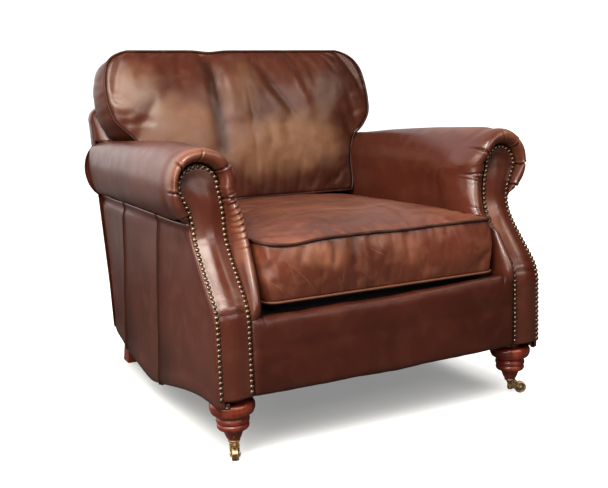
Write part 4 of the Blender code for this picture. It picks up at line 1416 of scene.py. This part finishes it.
# %% Outline of the outside back, wide enough to cover the rear ends of the rolls
OUTER_LOW, OUTER_TOP = 0.116, BACK_TOP + 0.001
ROLL_END_X, ROLL_END_Z, ROLL_END_HALF, ROLL_END_RISE = 0.391, 0.5725, 0.057, 0.0795


def outer_half(z):
    """Half width of the outside back: the raised back, or the end of a roll where that reaches further."""
    over = max(0.0, z - (OUTER_TOP - BACK_CORNER))
    straight = SKIN - BACK_CORNER + math.sqrt(max(0.0, BACK_CORNER**2 - min(over, BACK_CORNER) ** 2))
    rise = (z - ROLL_END_Z) / ROLL_END_RISE
    if abs(rise) >= 1:
        return straight
    return max(straight, ROLL_END_X + ROLL_END_HALF * math.sqrt(max(0.0, 1 - rise * rise)))


print("widest half:", round(max(outer_half(z / 1000) for z in range(116, 756)), 4))


# %% Outside back
def outside_back_place(s, z):
    """A point at a share s of the half width and a height z, with its edges turned in."""
    edge = max(0.0, 1 - abs(s) ** 26) ** 0.5
    low_turn = smooth(OUTER_LOW + 0.006, OUTER_LOW - 0.001, z)
    ahead = REAR_GAP * (1 - edge) + 0.010 * low_turn - 0.001
    return Vector((s * outer_half(z), deep(outer_back(z) - ahead), z))


def outside_back_swell(s, z):
    """Two upright seams and soft waves between them."""
    crease = 0.0
    for seam in (-0.36, 0.36):
        crease -= 0.0022 * bump(s, seam, 0.007)
        crease += 0.0010 * bump(s, seam + 0.02, 0.014)
    height = 0.0018 * wavy(s * 0.4, z, 2, 0.12) * smooth(1.0, 0.93, abs(s))
    return height + crease, crease


half_columns = [i / 30 for i in range(27)] + [0.34, 0.35, 0.356, 0.364, 0.37, 0.38]
half_columns += [0.90, 0.93, 0.955, 0.97, 0.98, 0.988, 0.994, 0.998, 1.0]
columns = sorted({-c for c in half_columns} | set(half_columns))
rows = spaced(OUTER_LOW, 0.48, 0.014, (OUTER_LOW,)) + spaced(0.486, 0.66, 0.004)
rows += spaced(0.67, 0.715, 0.009)
rows += [OUTER_TOP - BACK_CORNER * (1 - math.sin(math.pi / 2 * i / 14)) for i in range(0, 15)]
rows = sorted(set(round(row, 5) for row in rows))
add_piece(
    "outside_back_leather",
    sheet(columns, rows, outside_back_place, outside_back_swell, flip=True),
    frame_leather,
    replaces=("outside_back",),
    thick=HIDE,
)

# %% [markdown]
# ## Loose cushions
# Both cushions are sewn covers full of foam and feathers. Two faces and a strip between them, called
# the boxing, are joined along piped edges. The filling pushes the leather out while the seams hold it,
# and that is what a cloth simulation with pressure does well. The leather is a little too big for the
# filling, so it also wrinkles by itself. The long folds that come from years of use are then pressed
# in along chosen lines.

# %% A boxed pad in unit coordinates
# A corner this far out in unit coordinates is on the pad's rim.
RIM = 0.9999


def pad_block(columns, rows, layers):
    """A closed box of quads in unit coordinates: -1 to 1 across and along, 0 to 1 up."""
    bm = bmesh.new()
    bm.verts.layers.float.new("fold_and_shade")
    bmesh.ops.create_grid(bm, x_segments=columns, y_segments=rows, size=1.0)
    bottom = list(bm.faces)
    grown = bmesh.ops.extrude_face_region(bm, geom=bottom)
    upper = [item for item in grown["geom"] if isinstance(item, bmesh.types.BMVert)]
    bmesh.ops.translate(bm, verts=upper, vec=(0, 0, 1))
    standing = [e for e in bm.edges if abs(e.verts[0].co.z - e.verts[1].co.z) > 0.5]
    bmesh.ops.subdivide_edges(bm, edges=standing, cuts=layers - 1, use_grid_fill=True)
    bmesh.ops.recalc_face_normals(bm, faces=bm.faces)
    return bm


def at_edge(a, b):
    """Whether a unit place lies on the pad's outline."""
    return max(abs(a), abs(b)) > RIM


def shape_pad(pad, filled_place):
    """Carries a unit pad to its shape. Returns each corner's unit place, and whether a seam holds it."""
    unit_places = [vert.co.copy() for vert in pad.verts]
    for vert, unit in zip(pad.verts, unit_places):
        vert.co = filled_place(*unit)
    pinned = [c < 1 - RIM or (at_edge(a, b) and c > RIM) for a, b, c in unit_places]
    return unit_places, pinned


# %% The cloth that fills a cushion
AIR_PRESSURE, CLOTH_FRAMES = 4.0, 20


def inflate(bm, pinned, growth, cap):
    """Lets cloth under pressure move the corners that aren't pinned, by no more than cap(corner)."""
    rest = [vert.co.copy() for vert in bm.verts]
    mesh = bpy.data.meshes.new("inflating")
    bm.to_mesh(mesh)
    cloth_object = bpy.data.objects.new("inflating", mesh)
    bpy.context.scene.collection.objects.link(cloth_object)
    group = cloth_object.vertex_groups.new(name="pinned")
    group.add([i for i, hold in enumerate(pinned) if hold], 1.0, "REPLACE")
    cloth = cloth_object.modifiers.new("leather", "CLOTH")
    settings = cloth.settings
    settings.quality = 7
    settings.mass = 0.35
    settings.tension_stiffness = settings.compression_stiffness = 22.0
    settings.shear_stiffness = 9.0
    settings.bending_stiffness = 1.2
    settings.air_damping = 6.0
    settings.use_pressure = True
    settings.uniform_pressure_force = AIR_PRESSURE
    settings.vertex_group_mass = "pinned"
    settings.shrink_min = -growth
    settings.effector_weights.gravity = 0.0
    cloth.collision_settings.use_collision = False
    cloth.collision_settings.use_self_collision = False
    cloth.point_cache.frame_start, cloth.point_cache.frame_end = 1, CLOTH_FRAMES
    for step in range(1, CLOTH_FRAMES + 1):
        bpy.context.scene.frame_set(step)
    graph = bpy.context.evaluated_depsgraph_get()
    filled = cloth_object.evaluated_get(graph).to_mesh()
    for vert, start, end in zip(bm.verts, rest, [v.co.copy() for v in filled.vertices]):
        moved = end - start
        limit = cap(start)
        if moved.length > 1e-9:
            vert.co = start + moved * (limit * math.tanh(moved.length / limit) / moved.length)
    cloth_object.evaluated_get(graph).to_mesh_clear()
    bpy.data.objects.remove(cloth_object)
    bpy.data.meshes.remove(mesh)
    bpy.context.scene.frame_set(1)


# %% Folds pressed along lines
def line_distance(x, z, route):
    """Signed distance from a route of (x, z) points, and the share of its length that is nearest."""
    best = (1e9, 0.0)
    lengths = [math.dist(a, b) for a, b in zip(route, route[1:])]
    done = 0.0
    for (ax, az), (bx, bz), length in zip(route, route[1:], lengths):
        share = ((x - ax) * (bx - ax) + (z - az) * (bz - az)) / length**2
        share = min(1.0, max(0.0, share))
        dx, dz = x - ax - share * (bx - ax), z - az - share * (bz - az)
        gap = math.hypot(dx, dz)
        if gap < abs(best[0]):
            side = 1 if (bx - ax) * dz - (bz - az) * dx > 0 else -1
            best = (gap * side, (done + share * length) / sum(lengths))
        done += length
    return best


def pressed(x, z, folds):
    """Height of folds, each (route, depth, width, lip). A negative depth makes a ridge."""
    height = 0.0
    for route, depth, width, lip in folds:
        gap, share = line_distance(x, z, route)
        if abs(gap) > 5 * width:
            continue
        fade = smooth(0, 0.12, share) * smooth(1.0, 0.85, share) * 0.8 + 0.2 * (0 < share < 1)
        height -= fade * depth * bump(gap, 0, width)
        shoulders = bump(gap, 2.0 * width, 1.4 * width) + 0.6 * bump(gap, -2.0 * width, 1.4 * width)
        height += fade * lip * depth * shoulders
    return height


def settle(pad, unit_places, relief, full_fold):
    """Raises each corner along its normal by relief(unit place, corner): a height and a crease."""
    pad.normal_update()
    fold_and_shade = pad.verts.layers.float["fold_and_shade"]
    shifts = []
    for vert, unit in zip(pad.verts, unit_places):
        height, crease = relief(unit, vert.co)
        shifts.append((vert, vert.co + vert.normal * (height + crease), crease))
    for vert, where_to, crease in shifts:
        vert.co = where_to
        vert[fold_and_shade] = max(-1.0, min(1.0, crease / full_fold))


# %% [markdown]
# ## Seat cushion
# The seat cushion is a rounded box that is a little wider at the back. People sit on its front edge,
# so its upper piping has sunk there and the leather of the front boxing hangs in short upright folds.
# The folds could be sculpted by hand, but lines with a depth and a width can be moved and measured.

# %% Outline of the seat cushion
SEAT_NEAR, SEAT_FAR, SEAT_FOOT, SEAT_CORNER = 0.018, 0.752, 0.3278, 0.030
PIPE_LOW, PIPE_HIGH = -0.0030, 0.1163


def seat_half(depth):
    """Half width of the cushion at a depth."""
    return 0.302 + 0.016 * (depth - SEAT_NEAR) / (SEAT_FAR - SEAT_NEAR)


def seat_rim_sag(x, depth):
    """How high the upper piping lies: it has sunk where legs have pressed the front."""
    front = smooth(0.30, 0.02, depth)
    pressed_down = 0.0068 * bump(x, -0.235, 0.055) + 0.0020 * bump(x, 0.05, 0.05)
    pressed_down -= 0.006 * bump(x, -0.31, 0.02)
    return 0.0068 - front * pressed_down


def seat_point(a, b, c):
    """Unit box to the cushion: a across, b from front to back, c up."""
    mid_depth = (SEAT_NEAR + SEAT_FAR) / 2
    half_depth = (SEAT_FAR - SEAT_NEAR) / 2
    depth = mid_depth + b * half_depth
    half = seat_half(depth) - 0.006 * smooth(0.20, 0.05, depth)
    over_x = max(0.0, abs(a) * half - (half - SEAT_CORNER))
    over_y = max(0.0, abs(b) * half_depth - (half_depth - SEAT_CORNER))
    x_size, y_size = abs(a) * half, abs(b) * half_depth
    if over_x > 0 and over_y > 0:
        shrink = max(over_x, over_y) / math.hypot(over_x, over_y)
        x_size = half - SEAT_CORNER + over_x * shrink
        y_size = half_depth - SEAT_CORNER + over_y * shrink
    x = math.copysign(x_size, a)
    depth = mid_depth + math.copysign(y_size, b)
    z = SEAT_FOOT + PIPE_LOW + (PIPE_HIGH - PIPE_LOW) * c
    return x, depth, z + seat_rim_sag(x, depth) * c + 0.0055 * (1 - c) * smooth(0.04, 0.14, depth)


# %% The seat cushion lightly filled
def seat_filled(a, b, c):
    """Unit box to the filled shape that the cloth starts from."""
    x, depth, z = seat_point(a, b, c)
    if c > RIM and not at_edge(a, b):
        crown = (1 - abs(a) ** 2.6) * (1 - abs(b) ** 2.8)
        z += 0.024 * crown * (1 + 0.25 * b)
    if c < 1 - RIM and not at_edge(a, b):
        z -= 0.0030
    if at_edge(a, b) and 1 - RIM < c < RIM:
        swollen = 0.0065 * math.sin(math.pi * c)
        if abs(b) > RIM:
            depth += math.copysign(swollen, b)
        if abs(a) > RIM:
            x += math.copysign(swollen * 0.4, a)
    return Vector((x, deep(depth), z))


def seat_cap(start):
    """How far the cloth may carry a corner: most on top, least at the sides."""
    if start.z > SEAT_FOOT + 0.1185:
        return 0.016
    return 0.0055 if abs(start.x) > 0.29 else 0.0085


# %% Folds of the seat cushion, each a route, a depth, a width and a lip
seat_folds_front = [
    ([(-0.135, 0.470), (-0.140, 0.385)], 0.0034, 0.0085, 0.5),
    ([(-0.085, 0.470), (-0.092, 0.375)], 0.0038, 0.0090, 0.5),
    ([(-0.045, 0.470), (-0.040, 0.390)], 0.0026, 0.0080, 0.5),
    ([(0.005, 0.470), (0.015, 0.395)], 0.0022, 0.0080, 0.5),
    ([(-0.200, 0.470), (-0.215, 0.400)], 0.0022, 0.0080, 0.5),
    ([(0.100, 0.470), (0.108, 0.400)], 0.0016, 0.0080, 0.5),
    ([(0.175, 0.345), (0.120, 0.362), (0.060, 0.352)], 0.0012, 0.0055, 0.4),
    ([(-0.25, 0.36), (-0.18, 0.350), (-0.08, 0.362)], 0.0010, 0.0060, 0.4),
]
seat_folds_top = [
    ([(-0.13, 0.03), (-0.10, 0.12), (-0.12, 0.20)], 0.0020, 0.010, 0.4),
    ([(-0.02, 0.03), (0.01, 0.10)], 0.0018, 0.009, 0.4),
    ([(-0.26, 0.16), (-0.12, 0.21), (0.04, 0.19), (0.20, 0.23)], 0.0022, 0.012, 0.4),
    ([(0.06, 0.04), (0.11, 0.14), (0.10, 0.26)], 0.0016, 0.010, 0.4),
    ([(-0.28, 0.34), (-0.10, 0.38), (0.12, 0.35), (0.27, 0.40)], 0.0024, 0.014, 0.4),
]


def seat_relief(unit, spot):
    """Height and crease of the leather at a corner, on the front boxing and on top."""
    a, b, c = unit
    x, depth, z = spot.x, spot.y - FRONT, spot.z
    if b < -RIM and 0.02 < c < 0.98:
        crease = pressed(x, z, seat_folds_front) * smooth(0, 0.08, c) * smooth(1, 0.96, c)
        return 0.0016 * wavy(x, z, 0, 0.05) * math.sin(math.pi * c), crease
    if c > RIM and not at_edge(a, b):
        away = min(1 - abs(a), 1 - abs(b))
        ruck_x = x * (3 if abs(a) < abs(b) else 1)
        ruck_y = depth * (3 if abs(a) > abs(b) else 1)
        crease = pressed(x, depth, seat_folds_top)
        crease += 0.0014 * wavy(ruck_x, ruck_y, 5, 0.035) * bump(away, 0.05, 0.08)
        waves = 0.0024 * wavy(x, depth, 1, 0.09) + 0.0010 * wavy(x, depth, 6, 0.035)
        return waves * smooth(0, 0.12, away), crease
    return 0.0, 0.0


# %% The seat cushion: filled, folded and finished
pad = pad_block(72, 80, 12)
unit_places, pinned = shape_pad(pad, seat_filled)
inflate(pad, pinned, 0.020, seat_cap)
settle(pad, unit_places, seat_relief, 0.0050)
add_piece(
    "seat_cushion_leather",
    pad,
    seat_leather,
    replaces=("seat_cushion_cover", "seat_cushion_core"),
    soften=1,
)

# %% Piping of the seat cushion
PIPE_OUT, PIPE_RADIUS, PIPE_SIDES = 0.0030, 0.0034, 12


def rim_points(across, along, place):
    """Points round a cushion's edge, pushed out to where the piping lies."""
    unit = [(i / across * 2 - 1, -1) for i in range(across)]
    unit += [(1, i / along * 2 - 1) for i in range(along)]
    unit += [(-a, -b) for a, b in unit]
    ring = [Vector(place(a, b)) for a, b in unit]
    pushed = []
    for i, point in enumerate(ring):
        onwards = (ring[(i + 1) % len(ring)] - ring[i - 1]).normalized()
        pushed.append(point + Vector((onwards.y, -onwards.x, 0)) * PIPE_OUT)
    return pushed


def seat_rim(c):
    """The cushion's edge at the bottom or top of its boxing."""

    def place(a, b):
        x, depth, z = seat_point(a, b, c)
        return x, deep(depth), z

    return rim_points(80, 90, place)


for name, c, crest_highlight in (("top", 1.0, 0.25), ("bottom", 0.0, 1.0)):
    bm = tube(seat_rim(c), PIPE_RADIUS, PIPE_SIDES, uneven=0.10, crest_highlight=crest_highlight)
    add_piece(f"seat_piping_{name}", bm, piping_leather, replaces=(f"seat_welt_{name}",))

# %% [markdown]
# ## Back cushion
# The back cushion leans on the inside back and spreads over the arms, and its two upper corners
# differ, because old filling settles unevenly. It is built lying flat, as a box whose width comes from
# a curve for each side, then filled, folded and leaned back. The broad folds, with painted shade in
# their valleys, and the pale ridges between them, partly rubbed and partly painted highlight, are what
# makes it look sat against.

# %% Where the back cushion leans, and its outline on each side
TILT = math.atan(LEAN)
CUSHION_FOOT, CUSHION_TALL, BACK_BOXING = 0.447, 0.4355, 0.142
cushion_axes = Matrix(
    (
        (1, 0, 0, 0),
        (0, math.sin(TILT), -math.cos(TILT), deep(outer_back(CUSHION_FOOT) - 0.086)),
        (0, math.cos(TILT), math.sin(TILT), CUSHION_FOOT),
        (0, 0, 0, 1),
    )
)
cushion_left = soft_curve(
    [(0, 0.308), (0.025, 0.320), (0.10, 0.325), (0.135, 0.330), (0.16, 0.333), (0.185, 0.3405),
     (0.215, 0.3665), (0.237, 0.388), (0.273, 0.4015), (0.301, 0.406), (0.329, 0.407), (0.365, 0.4035),
     (0.393, 0.3965), (0.411, 0.387), (0.423, 0.372), (0.4315, 0.352), (0.4355, 0.335)]
)
cushion_right = soft_curve(
    [(0, 0.316), (0.025, 0.324), (0.073, 0.3265), (0.10, 0.329), (0.136, 0.337), (0.16, 0.3455),
     (0.175, 0.356), (0.198, 0.384), (0.23, 0.409), (0.254, 0.4175), (0.285, 0.4195), (0.311, 0.4190),
     (0.34, 0.416), (0.377, 0.408), (0.406, 0.390), (0.4235, 0.366), (0.432, 0.345), (0.4355, 0.330)]
)
print("the cushion leans", round(math.degrees(TILT), 2), "degrees")


# %% The back cushion lightly filled
def back_point(a, b, c):
    """Unit box to the back cushion: a across, b from foot to top, c from rear to front. Local axes."""
    # Rows crowd together near the top, where the outline turns.
    v = CUSHION_TALL * (1 - (1 - (b + 1) / 2) ** 1.25)
    half = cushion_left(v) if a < 0 else cushion_right(v)
    w = BACK_BOXING * c
    rear = smooth(0.040, 0.0, w)
    v -= 0.014 * rear * rear * smooth(0.25, CUSHION_TALL, v)
    half -= 0.008 * rear * rear
    dip = -0.005 * bump(a * half, -0.092, 0.035) * smooth(0.38, CUSHION_TALL, v) * c
    return a * half, v + dip, w


def back_filled(a, b, c):
    """Unit box to the filled shape that the cloth starts from."""
    u, v, w = back_point(a, b, c)
    if c > RIM and not at_edge(a, b):
        w += 0.024 * (1 - abs(a) ** 3) * (1 - abs(b) ** 3) * (1 - 0.25 * b)
    if at_edge(a, b) and 1 - RIM < c < RIM:
        swollen = 0.014 * math.sin(math.pi * c) ** 0.8
        corner = smooth(0.80, 1.0, abs(a)) * smooth(0.80, 1.0, abs(b))
        if abs(b) > RIM:
            v += math.copysign(swollen * (0.75 if b > 0 else 0.1) * (1 - 0.3 * corner), b)
        if abs(a) > RIM:
            u += math.copysign(swollen * (0.1 + 0.9 * smooth(0.18, 0.26, v)) * (1 - 0.3 * corner), a)
        elif corner and b > 0:
            u += math.copysign(swollen * 0.7 * corner, a)
    return Vector((u, v, w))


def back_cap(start):
    """How far the cloth may carry a corner: most on the front face, least at the foot and sides."""
    if start.z > BACK_BOXING - 0.001:
        return 0.018
    return 0.006 if start.y > 0.2 else 0.002


# %% Folds of the back cushion, each a route of x and z, a depth, a width and a lip
back_folds = [
    (
        [(-0.112, 0.905), (-0.103, 0.822), (-0.104, 0.735), (-0.098, 0.649), (-0.092, 0.590)],
        0.0090,
        0.0280,
        0.15,
    ),
    ([(-0.050, 0.890), (-0.036, 0.800), (-0.020, 0.700)], -0.0060, 0.0330, 0.1),
    ([(0.035, 0.890), (0.066, 0.835), (0.105, 0.775), (0.150, 0.705)], 0.0060, 0.0200, 0.2),
    ([(0.110, 0.900), (0.150, 0.835), (0.178, 0.765), (0.190, 0.690)], -0.0050, 0.0220, 0.1),
    ([(-0.100, 0.694), (-0.055, 0.690), (-0.005, 0.676)], 0.0012, 0.0120, 0.2),
    ([(0.036, 0.745), (0.050, 0.690), (0.054, 0.620)], 0.0026, 0.0130, 0.3),
    ([(0.100, 0.700), (0.112, 0.630)], 0.0018, 0.0120, 0.3),
    ([(-0.425, 0.779), (-0.395, 0.775), (-0.372, 0.768)], 0.0026, 0.0055, 0.4),
    ([(-0.410, 0.738), (-0.375, 0.730), (-0.340, 0.732)], 0.0032, 0.0070, 0.4),
    ([(-0.395, 0.708), (-0.350, 0.706), (-0.290, 0.712)], 0.0034, 0.0090, 0.3),
    ([(0.420, 0.800), (0.385, 0.790), (0.340, 0.770)], 0.0014, 0.0090, 0.4),
    ([(0.410, 0.730), (0.370, 0.722), (0.330, 0.705)], 0.0018, 0.0090, 0.4),
    ([(0.345, 0.620), (0.310, 0.630), (0.260, 0.620)], 0.0018, 0.0085, 0.4),
    ([(-0.335, 0.580), (-0.270, 0.610), (-0.190, 0.615)], 0.0022, 0.0130, 0.3),
]


def back_relief(unit, spot):
    """Height and crease of the leather at a corner: folds on the face, small gathers on the boxing."""
    a, b, c = unit
    x, y, z = cushion_axes @ spot
    if c > RIM and not at_edge(a, b):
        away = min(1 - abs(a), 1 - abs(b))
        height = 0.007 * bump(math.hypot(x + 0.26, (z - 0.735) * 0.9), 0, 0.12)
        height += 0.005 * bump(math.hypot(x - 0.02, z - 0.70), 0, 0.09)
        height += 0.0025 * wavy(x, z, 3, 0.10) + 0.0010 * wavy(x, z, 8, 0.035)
        ruck_x = x * 2.5 if abs(b) > abs(a) else x
        ruck_z = z * 2.5 if abs(a) > abs(b) else z
        crease = pressed(x, z, back_folds) * smooth(0, 0.05, away)
        crease += 0.0007 * wavy(ruck_x, ruck_z, 5, 0.035) * bump(away, 0.04, 0.06)
        return height * smooth(0, 0.2, away), crease
    if at_edge(a, b) and 0.02 < c < 0.98:
        height = 0.0016 * wavy(x, y, z, 0.05) * math.sin(math.pi * c)
        return height, 0.0018 * wavy(x * 3, y * 0.6, z * 3, 0.05) * math.sin(math.pi * c) ** 0.5
    return 0.0, 0.0


# %% The back cushion: filled, folded, leaned back and finished
pad = pad_block(84, 56, 12)
unit_places, pinned = shape_pad(pad, back_filled)
inflate(pad, pinned, 0.022, back_cap)
settle(pad, unit_places, back_relief, 0.0120)
pad.transform(cushion_axes)
add_piece(
    "back_cushion_leather",
    pad,
    back_leather,
    replaces=("back_cushion_cover", "back_cushion_core"),
    soften=1,
)


# %% Piping of the back cushion
for name, c in (("front", 1.0), ("rear", 0.0)):
    rim = [cushion_axes @ point for point in rim_points(90, 80, lambda a, b: back_point(a, b, c))]
    bm = tube(rim, PIPE_RADIUS, PIPE_SIDES, uneven=0.10, crest_highlight=0.3)
    add_piece(f"back_piping_{name}", bm, piping_leather, replaces=(f"back_welt_{name}",))

# %% [markdown]
# ## Legs and casters
# The front legs are turned on a lathe: a broad ring under the frame, two beads and a tapered toe that
# ends in a brass caster. They could be stacked from cylinders and balls, but a profile spun round the
# vertical is what a lathe cuts, and its corners can be softened before the spin. The rear legs are
# square and kick backwards, which keeps a heavy chair from tipping.

# %% Turned pieces
def rounded_profile(points, radius, steps=4):
    """Softens the corners of a profile: each corner becomes a short curve of about this radius."""
    result = [points[0]]
    for before, corner, after in zip(points, points[1:], points[2:]):
        before, corner, after = Vector(before), Vector(corner), Vector(after)
        reach = min(radius, (before - corner).length * 0.45, (after - corner).length * 0.45)
        start = corner + (before - corner).normalized() * reach
        end = corner + (after - corner).normalized() * reach
        for i in range(steps + 1):
            t = i / steps
            result.append(tuple((1 - t) ** 2 * start + 2 * t * (1 - t) * corner + t * t * end))
    result.append(points[-1])
    return result


def turned(profile, steps=64):
    """A closed bmesh from (radius, height) points, spun round the Z axis."""
    bm = bmesh.new()
    points = [bm.verts.new((radius, 0, z)) for radius, z in profile]
    edges = [bm.edges.new(pair) for pair in zip(points, points[1:])]
    bmesh.ops.spin(
        bm, geom=points + edges, cent=(0, 0, 0), axis=(0, 0, 1), angle=math.tau, steps=steps, use_merge=True
    )
    bmesh.ops.remove_doubles(bm, verts=bm.verts, dist=1e-6)
    bmesh.ops.recalc_face_normals(bm, faces=bm.faces)
    return bm


# %% Front legs
leg_profile = [
    (0, 0.1545), (0.026, 0.1545), (0.026, 0.1235), (0.0455, 0.1232), (0.0488, 0.117), (0.0488, 0.108),
    (0.0450, 0.0985), (0.0345, 0.0925), (0.0330, 0.0890), (0.0358, 0.0860), (0.0358, 0.0790),
    (0.0316, 0.0762), (0.0347, 0.0730), (0.0347, 0.0670), (0.0312, 0.0625), (0.0216, 0.0600),
    (0.0205, 0.0550), (0.0165, 0.0440), (0.0128, 0.0382), (0, 0.0382),
]
leg_profile = rounded_profile(leg_profile, 0.0022)
for side, _ in SIDES:
    low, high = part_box(f"front_leg_{side}")
    bm = turned(leg_profile, 72)
    bm.transform(Matrix.Translation(((low.x + high.x) / 2, (low.y + high.y) / 2, 0)))
    add_piece(f"front_leg_wood_{side}", bm, mahogany, replaces=(f"front_leg_{side}",))

# %% [markdown]
# ## Rear legs
# A rear leg is sawn from a plank, so its side view is drawn once, extruded across the leg's width, and
# its sharp edges are bevelled. Its faces stay flat.

# %% Rear legs
rear_outline = [
    (0.824, 0.1545), (0.824, 0.100), (0.845, 0.050), (0.866, 0.0),
    (0.918, 0.0), (0.8960, 0.056), (0.8735, 0.112), (0.8715, 0.1545),
]
for side, _ in SIDES:
    low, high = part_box(f"rear_leg_{side}")
    bm = bmesh.new()
    corners = [bm.verts.new((low.x, deep(depth), z)) for depth, z in rear_outline]
    face = bm.faces.new(corners)
    grown = bmesh.ops.extrude_face_region(bm, geom=[face])
    moved = [item for item in grown["geom"] if isinstance(item, bmesh.types.BMVert)]
    bmesh.ops.translate(bm, verts=moved, vec=(high.x - low.x, 0, 0))
    bmesh.ops.recalc_face_normals(bm, faces=bm.faces)
    sharp = [e for e in bm.edges if e.calc_face_angle(0) > 0.5]
    bmesh.ops.bevel(bm, geom=sharp, offset=0.0022, segments=3, profile=0.5, affect="EDGES", material=-1)
    add_piece(
        f"rear_leg_wood_{side}", bm, mahogany, replaces=(f"rear_leg_{side}",), flat=True
    )

# %% [markdown]
# ## Casters
# A caster is a stem fixed in the leg, a horn that swivels round the stem, and a wheel on a pin behind
# it. Stem, collar, pin and wheel are turned on a lathe, and the horn's cheeks are flat plates. Each
# part is built round an upright axis, set where its joint is, and rides on its own body of the frame,
# so that it turns with it.

# %% Profiles of the caster's turned brass, as radius and height
STEM = [
    (0, 0.0095), (0.0056, 0.0095), (0.0056, 0.0118), (0.0040, 0.0120), (0.0040, 0.0340), (0.0125, 0.0340),
    (0.0135, 0.0352), (0.0135, 0.0368), (0.0118, 0.0380), (0.0040, 0.0380), (0.0040, 0.0690), (0, 0.0690),
]
COLLAR = [
    (0.0042, 0.0122), (0.0066, 0.0122), (0.0068, 0.0150), (0.0060, 0.0240), (0.0085, 0.0300),
    (0.0100, 0.0318), (0.0100, 0.0332), (0.0042, 0.0336), (0.0042, 0.0122),
]
PIN = [
    (0, -0.0118), (0.0026, -0.0116), (0.0034, -0.0110), (0.0034, -0.0106), (0.0019, -0.0105),
    (0.0019, 0.0105), (0.0034, 0.0106), (0.0034, 0.0110), (0.0026, 0.0116), (0, 0.0118),
]
WHEEL = [
    (0.0021, -0.0075), (0.0052, -0.0075), (0.0056, -0.0066), (0.0102, -0.0066), (0.0108, -0.0075),
    (0.0124, -0.0074), (0.0141, -0.0056), (0.0142, 0.0056), (0.0124, 0.0074), (0.0108, 0.0075),
    (0.0102, 0.0066), (0.0056, 0.0066), (0.0052, 0.0075), (0.0021, 0.0075), (0.0021, -0.0075),
]
print("wheel diameter in mm:", 2000 * max(radius for radius, _ in WHEEL))

# %% The horn: a collar that turns on the stem, and a cheek on each side of the wheel
SHOULDER = [(0.0035, 0.0130), (0.0088, 0.0130), (0.0100, 0.0250), (0.0088, 0.0325), (0.0035, 0.0325)]
CHEEK_NEAR, CHEEK_FAR, CHEEK_RADIUS, SOFT_EDGE = 0.0083, 0.0105, 0.0066, 0.0006


def block_between(bm, outline, low_v, high_v):
    """Adds a plate: an outline in the caster's upright plane, thick across it, with softened edges."""
    corners = [bm.verts.new((u, low_v, z)) for u, z in outline]
    face = bm.faces.new(corners)
    grown = bmesh.ops.extrude_face_region(bm, geom=[face])
    moved = [item for item in grown["geom"] if isinstance(item, bmesh.types.BMVert)]
    bmesh.ops.translate(bm, verts=moved, vec=(0, high_v - low_v, 0))
    made = set(corners) | set(moved)
    faces = [f for f in bm.faces if all(v in made for v in f.verts)]
    bmesh.ops.recalc_face_normals(bm, faces=faces)
    edges = [e for e in bm.edges if all(v in made for v in e.verts) and e.calc_face_angle(0) > 0.6]
    bmesh.ops.bevel(
        bm, geom=edges, offset=SOFT_EDGE, segments=2, profile=0.5, affect="EDGES", material=-1
    )


def horn(away, axle_z):
    """A horn whose axle is this far from its swivel and this high."""
    bm = turned(rounded_profile(COLLAR, 0.0008, 3), 40)
    block_between(bm, SHOULDER, -CHEEK_FAR, CHEEK_FAR)
    cheek = [(0.0040, 0.0322), (0.0100, 0.0322), (0.0160, 0.0300)]
    for turn_down in range(66, -106, -12):
        a = math.radians(turn_down)
        cheek.append((away + CHEEK_RADIUS * math.cos(a), axle_z + CHEEK_RADIUS * math.sin(a)))
    cheek += [(0.0130, 0.0122), (0.0040, 0.0135)]
    block_between(bm, cheek, CHEEK_NEAR, CHEEK_FAR)
    block_between(bm, cheek, -CHEEK_FAR, -CHEEK_NEAR)
    return bm


# %% Casters, set where the joints are
joints = {joint["name"]: joint for joint in frame["joints"]}


def add_brass(part, replaced, side, bm, place, body="chair"):
    """Puts one brass part of a caster in its place."""
    bm.transform(place)
    node = f"caster_{replaced}_{side}"
    add_piece(f"caster_{part}_brass_{side}", bm, brass, body, replaces=(node,))


for side, _ in SIDES:
    swivel, roll = joints[f"caster_{side}_swivel"], joints[f"caster_{side}_roll"]
    foot = Vector((swivel["pos_m"][0], swivel["pos_m"][1], 0))
    hub = Vector(roll["pos_m"])
    trail = Vector((hub.x - foot.x, hub.y - foot.y))
    standing = Matrix.Translation(foot)
    trailing = standing @ Matrix.Rotation(math.atan2(trail.y, trail.x), 4, "Z")
    lying = Matrix.Translation((trail.length, 0, hub.z)) @ Matrix.Rotation(math.radians(90), 4, "X")
    add_brass("stem", "stem", side, turned(rounded_profile(STEM, 0.0006, 3), 40), standing)
    add_brass("horn", "horn", side, horn(trail.length, hub.z), trailing, f"horn_{side}")
    add_brass("pin", "axle", side, turned(PIN, 28), trailing @ lying, f"horn_{side}")
    wheel = turned(rounded_profile(WHEEL, 0.0007, 3), 56)
    add_brass("wheel", "wheel", side, wheel, trailing @ lying, f"wheel_{side}")

# %% Finish
low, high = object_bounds()
print("visual size:", [round(c, 4) for c in high - low])
